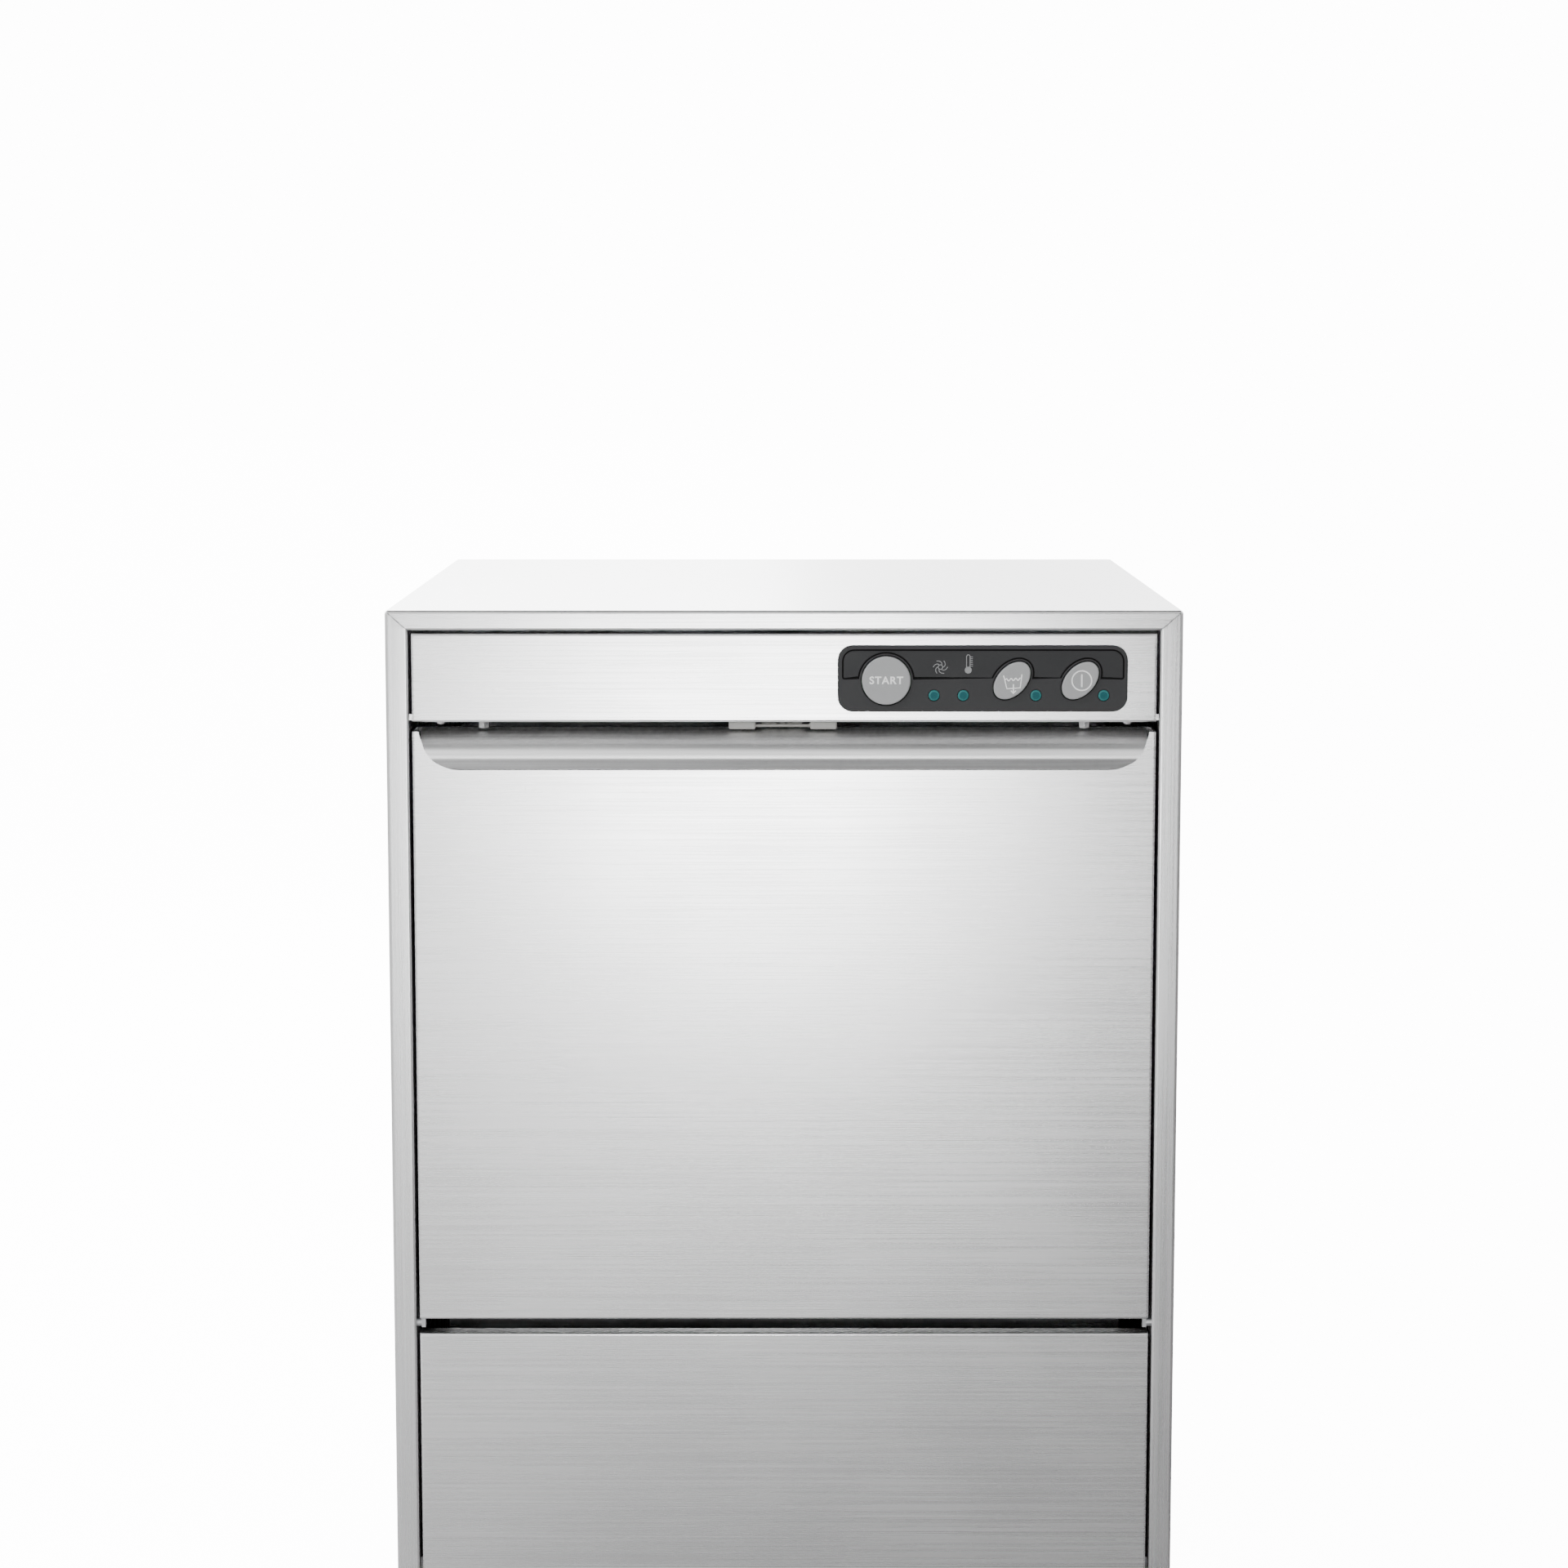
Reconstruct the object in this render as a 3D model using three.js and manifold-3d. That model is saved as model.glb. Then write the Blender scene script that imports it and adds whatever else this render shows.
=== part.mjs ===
// Undercounter dishwasher with a drop-down door: a stainless cabinet, a double-skinned door on
// pins near the floor of the wash chamber, and the wash and rinse gear inside.
// Millimetres, +Z up, +X to the right seen from the front, the door facing -Y.
// The origin is on the floor, under the middle of the whole machine.
import * as THREE from 'three';
import Module from 'manifold-3d';
import { mergeVertices } from 'three/addons/utils/BufferGeometryUtils.js';

const library = await Module();
library.setup();

// ---- Driving dimensions ----
const BODY_WIDTH = 600;
const BODY_DEPTH = 600;          // cabinet, without the handle
const BODY_HEIGHT = 820;
const PLINTH = 60;               // underside of the cabinet above the floor
const SHEET = 1.2;               // cabinet and door sheet
const FIT = 0.3;                 // gap between pieces that touch
const BEND = 2.4;                // centre-line radius of a folded edge
const RETURN = 14;               // depth of a panel's folded edge
const SIDE_STRIP = 17.4;         // front flange of a side panel
const TOP_STRIP = 15.3;          // front flange of the top panel
const PANEL_GAP = 2.2;           // beside and above the fascia and the door
const REAR_RECESS = 14.4;        // rear panel behind the cabinet's rear edge

const FASCIA_HEIGHT = 66.8;
const FASCIA_DOOR_GAP = 7.3;
const INSERT_WIDTH = 218.1;
const INSERT_HEIGHT = 50.1;
const INSERT_CORNER = 11.4;
const INSERT_CENTRE_X = 149.35;
const INSERT_PROUD = 1.6;
const INSERT_THICKNESS = 6;
const START_RADIUS = 18.2;
const START_X = 76.8;
const OVAL_LONG = 16.5;
const OVAL_SHORT = 10.8;
const OVAL_TILT = 47;            // degrees, long axis above +X
const OVAL_XS = [171.3, 222.6];
const LED_RADIUS = 4.1;
const LED_XS = [112.8, 134.8, 189.4, 240.4];
const BUTTON_GAP = 0.8;
const BUTTON_TRAVEL = 2;
const BUTTON_PROUD = 2.4;        // button face before the insert
const CONTROL_BOARD = 1.6;

const LOWER_PANEL_HEIGHT = 202.7;
const LOWER_GAP = 11;            // lower panel to door
const DOOR_THICKNESS = 38;
const HANDLE_PROUD = 10;
const HANDLE_HEIGHT = 28.7;      // lower edge below the door's top
const HANDLE_END_X = 3;          // handle's upper end inside the door's side
const HANDLE_FLAT_X = 35;        // end of the handle's straight lower edge inside the side
const HINGE_BACK = 5.5;          // pin axis behind the door's face
const HINGE_DROP = 3.6;          // pin axis below the door
const HINGE_PIN = 3.2;           // pin radius
const HINGE_LEVER = 40;          // pin axis to spring hook
const PIN_CLEARANCE = 0.05;
const SPRING_RADIUS = 4.5;

const TUB_SHEET = 1.5;
const TUB_FLOOR = 235;
const TUB_TO_FASCIA = 14;        // tub roof below the fascia's lower edge
const TUB_SIDE_SPACE = 38;       // tub's outer face inside the cabinet's outer face
const TUB_REAR_SPACE = 43;
const GASKET = 6.7;
const MOUTH_SILL = 292;          // lower edge of the tub's mouth
const MOUTH_SIDE = 4;            // tub's outer face to the mouth's side
const MOUTH_HEAD = 10;           // tub's roof to the mouth's upper edge
const SUMP_BOTTOM = 150;
const SUMP_HALF_X = 150;
const SUMP_FRONT = -130;
const SUMP_REAR = 170;
const ARM_Y = 5;                 // axis of the arms
const POST_RADIUS = 12;
const ARM_REACH = 232;
const WASH_ARM_HEIGHT = 12;
const RINSE_ARM_HEIGHT = 8;
const RUNNING = 0.06;            // radial running clearance at a hub
const RACK_SIZE = 500;
const RACK_HEIGHT = 100;
const RACK_LEVEL = 306;
const PUMP = { x: 215, y: 2, z: 112, radius: 42 };
const BOILER = { x: -225, z: 133, radius: 54, front: -150, rear: 120 };
const PIPE_RADIUS = 10;
const FOOT_PAD = 20;
const FOOT_STUD = 6;
const FOOT_INSET = 45;

// ---- Places that follow from them ----
const halfWidth = BODY_WIDTH / 2;
const frontY = HANDLE_PROUD / 2 - BODY_DEPTH / 2;
const rearY = frontY + BODY_DEPTH;
const stripX = halfWidth - SIDE_STRIP;
const panelX = stripX - PANEL_GAP;
const stripZ = BODY_HEIGHT - TOP_STRIP;
const fasciaTop = stripZ - PANEL_GAP;
const fasciaBottom = fasciaTop - FASCIA_HEIGHT;
const insertZ = (fasciaTop + fasciaBottom) / 2 - 0.3;
const buttonZ = insertZ - 1.4;
const ledZ = insertZ - 12.8;
const insertFront = frontY - INSERT_PROUD;
const insertBack = insertFront + INSERT_THICKNESS;
const doorTop = fasciaBottom - FASCIA_DOOR_GAP;
const lowerPanelTop = PLINTH + LOWER_PANEL_HEIGHT;
const doorBottom = lowerPanelTop + LOWER_GAP;
const doorBack = frontY + DOOR_THICKNESS;
const hinge = { y: frontY + HINGE_BACK, z: doorBottom - HINGE_DROP };
const tubX = halfWidth - TUB_SIDE_SPACE;
const tubFront = doorBack + 0.6 + GASKET;
const tubRear = rearY - TUB_REAR_SPACE;
const tubTop = fasciaBottom - TUB_TO_FASCIA;
const mouthX = tubX - MOUTH_SIDE;
const mouthTop = tubTop - MOUTH_HEAD;
const rearPanelY = rearY - REAR_RECESS;
const trayFront = frontY + RETURN + 4;
const trayX = halfWidth - SHEET - FIT;
const crossbarZ = fasciaBottom + FIT;
const barBack = tubFront - 1;
const rackMiddleY = (tubFront + tubRear) / 2;

// ---- Shaping ----
const solid = (geometry) => {
  const bare = new THREE.BufferGeometry();
  bare.setAttribute('position', geometry.attributes.position.clone());
  if (geometry.index) bare.setIndex(geometry.index.clone());
  const merged = mergeVertices(bare, 1e-4);
  return new library.Manifold(new library.Mesh({
    numProp: 3,
    vertProperties: new Float32Array(merged.attributes.position.array),
    triVerts: new Uint32Array(merged.index.array),
  }));
};

const geometryOf = (shape) => {
  const mesh = shape.getMesh();
  const geometry = new THREE.BufferGeometry();
  geometry.setAttribute('position', new THREE.BufferAttribute(new Float32Array(mesh.vertProperties), 3));
  geometry.setIndex(new THREE.BufferAttribute(new Uint32Array(mesh.triVerts), 1));
  return geometry;
};

const block = (x0, x1, y0, y1, z0, z1) => solid(new THREE.BoxGeometry(x1 - x0, y1 - y0, z1 - z0)
  .translate((x0 + x1) / 2, (y0 + y1) / 2, (z0 + z1) / 2));

// A flat outline pushed along one axis: its own two axes are (y, z), (x, z) or (x, y).
const prism = (outline, axis, from, to) => {
  const shape = outline instanceof THREE.Shape ? outline : new THREE.Shape(outline.map(([a, b]) => new THREE.Vector2(a, b)));
  const geometry = new THREE.ExtrudeGeometry(shape, { depth: to - from, bevelEnabled: false, curveSegments: 5 });
  const [x, y, z] = [[1, 0, 0], [0, 1, 0], [0, 0, 1]].map((v) => new THREE.Vector3(...v));
  const basis = {
    x: new THREE.Matrix4().makeBasis(y, z, x).setPosition(from, 0, 0),
    y: new THREE.Matrix4().makeBasis(x, z, y.clone().negate()).setPosition(0, to, 0),
    z: new THREE.Matrix4().makeBasis(x, y, z).setPosition(0, 0, from),
  }[axis];
  return solid(geometry.applyMatrix4(basis));
};

const circle = (a, b, radius, sides = 32) => Array.from({ length: sides }, (_, i) => [
  a + radius * Math.cos(2 * Math.PI * i / sides), b + radius * Math.sin(2 * Math.PI * i / sides)]);
const cylinder = (axis, a, b, radius, from, to, sides) => prism(circle(a, b, radius, sides), axis, from, to);

const roundedRectangle = (cx, cy, width, height, radius) => {
  const [x, y] = [width / 2 - radius, height / 2 - radius];
  const shape = new THREE.Shape();
  [[x, -y, -90], [x, y, 0], [-x, y, 90], [-x, -y, 180]].forEach(([dx, dy, degrees]) => {
    const start = THREE.MathUtils.degToRad(degrees);
    shape.absarc(cx + dx, cy + dy, radius, start, start + Math.PI / 2);
  });
  return shape;
};

const tiltedOval = (cx, cz, long, short) => {
  const shape = new THREE.Shape();
  shape.absellipse(cx, cz, long, short, 0, 2 * Math.PI, false, THREE.MathUtils.degToRad(OVAL_TILT));
  return new THREE.Shape(shape.getPoints(14).slice(0, -1));
};

// The closed outline of a folded sheet whose middle follows the corners given.
const folded = (corners, thickness = SHEET, bend = BEND, steps = 3) => {
  const points = corners.map(([a, b]) => new THREE.Vector2(a, b));
  const middle = [points[0]];
  for (let i = 1; i < points.length - 1; i += 1) {
    const into = points[i].clone().sub(points[i - 1]).normalize();
    const out = points[i + 1].clone().sub(points[i]).normalize();
    const turn = Math.atan2(into.cross(out), into.dot(out));
    const start = points[i].clone().addScaledVector(into, -bend * Math.tan(Math.abs(turn) / 2));
    const side = new THREE.Vector2(-into.y, into.x).multiplyScalar(Math.sign(turn));
    const centre = start.clone().addScaledVector(side, bend);
    for (let k = 0; k <= steps; k += 1) {
      middle.push(start.clone().rotateAround(centre, turn * k / steps));
    }
  }
  middle.push(points.at(-1));
  const edge = (offset) => middle.map((point, i) => {
    const back = middle[Math.max(i - 1, 0)];
    const ahead = middle[Math.min(i + 1, middle.length - 1)];
    const along = ahead.clone().sub(back).normalize();
    return [point.x - along.y * offset, point.y + along.x * offset];
  });
  return [...edge(-thickness / 2), ...edge(thickness / 2).reverse()];
};

// A body turned about Z from [radius, height] corners that start and end on the axis,
// or close on themselves when it is a ring.
const turned = (profile, sides = 32) => {
  const onAxis = profile[0][0] === 0;
  const corners = onAxis ? profile : [...profile, profile[0]];
  const points = corners.map(([r, z]) => new THREE.Vector2(r, z));
  return solid(new THREE.LatheGeometry(points, sides).rotateX(Math.PI / 2));
};

const round = (points, radius, steps, sides = 10) => {
  const path = new THREE.CatmullRomCurve3(points.map((point) => new THREE.Vector3(...point)), false, 'centripetal');
  const section = new THREE.Shape(circle(0, 0, radius, sides).map(([a, b]) => new THREE.Vector2(a, b)));
  return solid(new THREE.ExtrudeGeometry(section, { steps, extrudePath: path, bevelEnabled: false }));
};

const join = (...shapes) => shapes.reduce((whole, shape) => whole.add(shape));
const cut = (whole, ...shapes) => shapes.reduce((rest, shape) => rest.subtract(shape), whole);
const mirrored = (shape, side) => (side < 0 ? shape : shape.mirror([1, 0, 0]));

// A shallow pan of sheet, open at the back.
const pan = (x, z0, z1, depth) => block(-x, x, frontY, frontY + depth, z0, z1)
  .subtract(block(-x + SHEET, x - SHEET, frontY + SHEET, frontY + depth + 1, z0 + SHEET, z1 - SHEET));

// ---- Finishes ----
const finishes = {
  brushedSteel: [0xd2d3d4, 0.36, 1],
  galvanised: [0x9c9fa1, 0.5, 0.9],
  tubSteel: [0xc4c6c8, 0.3, 1],
  darkPlastic: [0x414244, 0.55, 0],
  buttonPlastic: [0xa9abac, 0.5, 0],
  tealLens: [0x0d666c, 0.25, 0],
  greenBoard: [0x2f5a3c, 0.6, 0],
  lightPlastic: [0xb4b4ae, 0.5, 0],
  blackRubber: [0x26282a, 0.85, 0],
  blackPlastic: [0x2b2c2e, 0.6, 0],
  bluePlastic: [0x3b6f9c, 0.5, 0],
  castAluminium: [0xb0b2b4, 0.55, 0.8],
  springSteel: [0x8a8c8e, 0.4, 1],
};

const dishwasher = new THREE.Group();
const add = (name, shape, finish) => {
  const [color, roughness, metalness] = finishes[finish];
  const mesh = new THREE.Mesh(geometryOf(shape), new THREE.MeshStandardMaterial({ color, roughness, metalness }));
  mesh.name = name;
  dishwasher.add(mesh);
};

// ---- Cabinet ----
// Top and side panels meet in a mitre at the two upper front corners.
const mitreZ = (x) => BODY_HEIGHT - (x + halfWidth) * TOP_STRIP / SIDE_STRIP;

function topPanel() {
  const sheet = prism(folded([
    [frontY + RETURN, stripZ + SHEET / 2],
    [frontY + SHEET / 2, stripZ + SHEET / 2],
    [frontY + SHEET / 2, BODY_HEIGHT - SHEET / 2],
    [rearY - SHEET / 2, BODY_HEIGHT - SHEET / 2],
    [rearY - SHEET / 2, stripZ],
  ]), 'x', -halfWidth, halfWidth);
  const wedge = prism([
    [-halfWidth - 1, stripZ - 1],
    [-stripX + SHEET, mitreZ(-stripX + SHEET) + FIT / 2],
    [-halfWidth - 1, mitreZ(-halfWidth - 1) + FIT / 2],
  ], 'y', frontY - 1, frontY + BEND + SHEET);
  const end = block(-halfWidth - 1, -stripX + FIT, frontY - 1, frontY + RETURN + 1,
    stripZ - 1, BODY_HEIGHT - SHEET - BEND);
  const behindMitre = end.subtract(block(-halfWidth - 2, 0, frontY - 2, frontY + BEND, 0, BODY_HEIGHT));
  const rearEnd = block(-halfWidth - 1, -halfWidth + SIDE_STRIP, rearY - BEND - SHEET, rearY + 1,
    stripZ - 1, BODY_HEIGHT - SHEET - FIT);
  return [-1, 1].reduce((rest, side) => cut(rest, ...[wedge, behindMitre, rearEnd]
    .map((shape) => mirrored(shape, side))), sheet);
}

function sidePanel(side) {
  const returnX = -stripX - SHEET / 2;
  const wallX = -halfWidth + SHEET / 2;
  const sheet = prism(folded([
    [returnX, frontY + RETURN],
    [returnX, frontY + SHEET / 2],
    [wallX, frontY + SHEET / 2],
    [wallX, rearY - SHEET / 2],
    [wallX + RETURN, rearY - SHEET / 2],
  ]), 'z', PLINTH, BODY_HEIGHT - SHEET - FIT);
  const aboveMitre = prism([
    [-halfWidth - 1, mitreZ(-halfWidth - 1) - FIT / 2],
    [-stripX + 1, mitreZ(-stripX + 1) - FIT / 2],
    [-stripX + 1, BODY_HEIGHT + 1],
    [-halfWidth - 1, BODY_HEIGHT + 1],
  ], 'y', frontY - 1, frontY + RETURN + 1);
  const pinHole = cylinder('x', hinge.y, hinge.z, HINGE_PIN + 0.8, -stripX - SHEET - 1, -stripX + 1, 20);
  return mirrored(cut(sheet, aboveMitre, pinHole), side);
}

const inletPlace = [BOILER.x, 214];
const drainPlace = [-120, 96];
const glandPlace = [225, 118];

function rearPanel() {
  const flangeX = halfWidth - SHEET - FIT - SHEET / 2;
  const sheet = prism(folded([
    [-flangeX, rearY - SHEET - BEND],
    [-flangeX, rearPanelY + SHEET / 2],
    [flangeX, rearPanelY + SHEET / 2],
    [flangeX, rearY - SHEET - BEND],
  ]), 'z', PLINTH, BODY_HEIGHT - SHEET - FIT);
  const holes = [[inletPlace, 11], [drainPlace, 12], [glandPlace, 11]]
    .map(([[x, z], radius]) => cylinder('y', x, z, radius, rearPanelY - 1, rearY, 20));
  return cut(sheet, ...holes);
}

const footPlaces = [[-1, -1], [1, -1], [-1, 1], [1, 1]].map(([sx, sy]) => [
  sx * (halfWidth - FOOT_INSET), sy < 0 ? trayFront + FOOT_INSET - 10 : rearPanelY - FOOT_INSET]);

function baseTray() {
  const rear = rearPanelY - FIT;
  const tray = block(-trayX, trayX, trayFront, rear, PLINTH, PLINTH + 18)
    .subtract(block(-trayX + 1.5, trayX - 1.5, trayFront + 1.5, rear - 1.5, PLINTH + 1.5, PLINTH + 19));
  const bosses = footPlaces.map(([x, y]) => cylinder('z', x, y, FOOT_STUD + 5, PLINTH + 1, PLINTH + 26, 12));
  const bores = footPlaces.map(([x, y]) => cylinder('z', x, y, FOOT_STUD + 0.08, PLINTH - 1, PLINTH + 27, 16));
  return cut(join(tray, ...bosses), ...bores);
}

function foot(x, y) {
  const pad = FOOT_PAD;
  return turned([
    [0, 0], [pad, 0], [pad, 8], [pad * 0.6, 22], [pad * 0.6, PLINTH - 12], [FOOT_STUD, PLINTH - 12],
    [FOOT_STUD, PLINTH + 36], [0, PLINTH + 36],
  ], 16).translate([x, y, 0]);
}

add('top_panel', topPanel(), 'brushedSteel');
add('left_side_panel', sidePanel(-1), 'brushedSteel');
add('right_side_panel', sidePanel(1), 'brushedSteel');
add('rear_panel', rearPanel(), 'galvanised');
add('base_tray', baseTray(), 'galvanised');
['front_left', 'front_right', 'rear_left', 'rear_right'].forEach((corner, i) => {
  add(`foot_${corner}`, foot(...footPlaces[i]), 'blackPlastic');
});
add('front_lower_panel', pan(panelX, PLINTH, lowerPanelTop, RETURN), 'brushedSteel');

// ---- Fascia and controls ----
function fascia() {
  const window = prism(roundedRectangle(INSERT_CENTRE_X, insertZ, INSERT_WIDTH - 8, INSERT_HEIGHT - 8,
    INSERT_CORNER - 3), 'y', frontY - 1, frontY + SHEET + 1);
  const ear = block(-stripX + FIT, -panelX + 1, frontY + 0.4, frontY + SHEET, fasciaBottom + 1.5, fasciaBottom + 6);
  return cut(join(pan(panelX, fasciaBottom, fasciaTop, RETURN), ear, ear.mirror([1, 0, 0])), window);
}

// The insert is a plate over the fascia with a shallower box behind it in the window.
function controlInsert() {
  const plate = prism(roundedRectangle(INSERT_CENTRE_X, insertZ, INSERT_WIDTH, INSERT_HEIGHT, INSERT_CORNER),
    'y', insertFront, frontY - FIT);
  const plug = prism(roundedRectangle(INSERT_CENTRE_X, insertZ, INSERT_WIDTH - 8 - 2 * FIT,
    INSERT_HEIGHT - 8 - 2 * FIT, INSERT_CORNER - 3), 'y', insertFront + 0.5, insertBack);
  const startHole = cylinder('y', START_X, buttonZ, START_RADIUS + BUTTON_GAP, insertFront - 1, insertBack + 1, 32);
  const ovalHoles = OVAL_XS.map((x) => prism(tiltedOval(x, buttonZ, OVAL_LONG + BUTTON_GAP, OVAL_SHORT + BUTTON_GAP),
    'y', insertFront - 1, insertBack + 1));
  const ledHoles = LED_XS.map((x) => cylinder('y', x, ledZ, LED_RADIUS + FIT, insertFront - 1, insertBack + 1, 16));
  return cut(join(plate, plug), startHole, ...ovalHoles, ...ledHoles);
}

const buttonFront = insertFront - BUTTON_PROUD;
const boardFront = insertBack + 2 + BUTTON_TRAVEL;
const buttonBack = insertBack + 1.4;

function startButton() {
  return join(
    cylinder('y', START_X, buttonZ, START_RADIUS - 0.6, buttonFront, buttonFront + 1, 32),
    cylinder('y', START_X, buttonZ, START_RADIUS, buttonFront + 0.6, buttonBack, 32),
  );
}

function ovalButton(x) {
  return join(
    prism(tiltedOval(x, buttonZ, OVAL_LONG - 0.6, OVAL_SHORT - 0.6), 'y', buttonFront, buttonFront + 1),
    prism(tiltedOval(x, buttonZ, OVAL_LONG, OVAL_SHORT), 'y', buttonFront + 0.6, buttonBack),
  );
}

function controlBoard() {
  const board = block(INSERT_CENTRE_X - INSERT_WIDTH / 2 + 6, INSERT_CENTRE_X + INSERT_WIDTH / 2 - 6,
    boardFront, boardFront + CONTROL_BOARD, insertZ - INSERT_HEIGHT / 2 + 2, insertZ + INSERT_HEIGHT / 2 - 2);
  const relays = [80, 110, 190].map((x) => block(x, x + 18, boardFront + 1, boardFront + 14, insertZ - 6, insertZ + 12));
  return join(board, ...relays);
}

add('control_fascia', fascia(), 'brushedSteel');
add('control_insert', controlInsert(), 'darkPlastic');
add('start_button', startButton(), 'buttonPlastic');
add('drain_button', ovalButton(OVAL_XS[0]), 'buttonPlastic');
add('power_button', ovalButton(OVAL_XS[1]), 'buttonPlastic');
['wash', 'rinse', 'drain', 'power'].forEach((role, i) => {
  add(`${role}_light`, cylinder('y', LED_XS[i], ledZ, LED_RADIUS, insertFront - 0.3, insertBack + 1, 16), 'tealLens');
});
add('control_board', controlBoard(), 'greenBoard');

// ---- Crossbar above the door, with the door catch ----
const catchY = frontY + 12;

function crossbar() {
  return prism(folded([
    [frontY + RETURN + FIT, crossbarZ + SHEET / 2],
    [barBack - SHEET / 2, crossbarZ + SHEET / 2],
    [barBack - SHEET / 2, crossbarZ + 28],
  ]), 'x', -stripX - SHEET + 2, stripX + SHEET - 2);
}

// Two blocks on a thin rod: the rod is the bar that the door's hook rides under.
function catchSlider() {
  const roundedBlock = (x0, x1) => prism(roundedRectangle((x0 + x1) / 2, crossbarZ - 4.1, x1 - x0, 6.2, 2.4),
    'y', catchY, catchY + 9);
  return join(roundedBlock(-41.9, -21.7), roundedBlock(19.5, 40),
    cylinder('x', catchY + 4.5, crossbarZ - 4.6, 1.2, -23, 21, 12));
}

function catchHolder() {
  const plate = block(-18, 15, catchY + 15, catchY + 24, crossbarZ - 3 - FIT, crossbarZ - FIT);
  const lugs = [[-16.7, -5.9], [-2.8, 0.8], [2.6, 13.6]]
    .map(([x0, x1]) => block(x0, x1, catchY + 15, catchY + 21, crossbarZ - 6.6, crossbarZ - 3));
  return join(plate, ...lugs);
}

add('front_crossbar', crossbar(), 'galvanised');
add('catch_slider', catchSlider(), 'lightPlastic');
add('catch_holder', catchHolder(), 'lightPlastic');
add('door_switch', join(
  block(118, 142, barBack - 22, barBack - SHEET * 2, crossbarZ + SHEET + FIT, crossbarZ + 16),
  block(126, 134, barBack - 25, barBack - 18, crossbarZ + 4, crossbarZ + 10),
), 'blackPlastic');

// ---- Door ----
// The handle is a lip across the door's top: a band leaning out from the door's face, a rolled
// crest, and a back that falls away under the fascia. Its ends sweep up to the door's corners.
const handleBottom = doorTop - HANDLE_HEIGHT;
const crankX = panelX - SHEET - FIT - 3;
const lipProud = HANDLE_PROUD - SHEET / 2;
const lipTop = doorTop - SHEET / 2;
const lipProfile = [
  [frontY + SHEET / 2, handleBottom],
  [frontY - lipProud + 0.8, handleBottom + 8],
  [frontY - lipProud, handleBottom + 9.6],
  [frontY - lipProud, handleBottom + 11.2],
  [frontY - lipProud + 0.6, handleBottom + 14],
  [frontY - lipProud + 2.4, handleBottom + 17],
  [frontY - lipProud + 5.6, handleBottom + 20],
  [frontY - lipProud + 10.2, handleBottom + 23],
  [frontY - lipProud + 16, handleBottom + 25.5],
  [frontY - lipProud + 24, handleBottom + 27.2],
  [frontY - lipProud + 34, lipTop],
];

function handleOutline(inset) {
  const low = handleBottom + inset;
  const end = panelX - HANDLE_END_X - inset;
  const flat = panelX - HANDLE_FLAT_X;
  const shape = new THREE.Shape();
  shape.moveTo(flat, low);
  shape.bezierCurveTo(flat + 16, low, end - 4, low + 13, end, doorTop + 4);
  shape.lineTo(-end, doorTop + 4);
  shape.bezierCurveTo(-end + 4, low + 13, -flat - 16, low, -flat, low);
  return shape;
}

function doorHandle() {
  const back = doorBack - SHEET - FIT;
  const strip = prism(folded([...lipProfile, [back, lipTop]], SHEET, 1, 1), 'x', -panelX, panelX);
  const underStrip = prism([...lipProfile, [back, lipTop], [back, handleBottom]], 'x', -panelX, panelX)
    .intersect(block(-panelX, panelX, frontY - HANDLE_PROUD, frontY + SHEET * 2, handleBottom, doorTop));
  const outline = (inset) => prism(handleOutline(inset), 'y', frontY - HANDLE_PROUD - 1, back + 1);
  const endWalls = underStrip.subtract(outline(SHEET));
  return join(strip, endWalls).intersect(outline(0));
}

function doorOuterSkin() {
  const cutout = prism(handleOutline(-FIT), 'y', frontY - 1, doorBack + 1);
  const slot = block(-crankX - 3 - FIT, -crankX + FIT, hinge.y - HINGE_PIN - FIT, hinge.y + HINGE_PIN + FIT,
    doorBottom - 1, doorBottom + SHEET + 1);
  const skin = pan(panelX, doorBottom, doorTop, DOOR_THICKNESS - SHEET - FIT)
    .subtract(block(-panelX + SHEET, panelX - SHEET, frontY + SHEET, doorBack, doorTop - 2, doorTop + 1));
  return cut(skin, cutout, slot, slot.mirror([1, 0, 0]));
}

function doorInnerPanel() {
  const x = panelX - SHEET - FIT;
  const [low, high] = [doorBottom + SHEET + FIT, doorTop - SHEET * 2 - FIT];
  const outer = block(-x, x, doorBack - 10, doorBack, low, high);
  const hollow = block(-x + SHEET, x - SHEET, doorBack - 11, doorBack - SHEET, low + SHEET, high - SHEET);
  const rim = block(-panelX, panelX, doorBack - SHEET, doorBack, doorBottom, doorTop);
  const dish = block(-x + 60, x - 60, doorBack - 5, doorBack + 1, low + 60, high - 60);
  const dishBack = block(-x + 60 - SHEET, x - 60 + SHEET, doorBack - 5 - SHEET, doorBack - 1,
    low + 60 - SHEET, high - 60 + SHEET);
  return cut(join(cut(outer, hollow), rim, dishBack), dish);
}

function doorGasket() {
  const [low, high] = [doorBottom + 8, tubTop - 1];
  const width = 8;
  return block(-tubX - width, tubX + width, doorBack + FIT, doorBack + FIT + GASKET, low, high)
    .subtract(block(-tubX, tubX, doorBack, doorBack + GASKET + 1, low + width, high - width));
}

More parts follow.
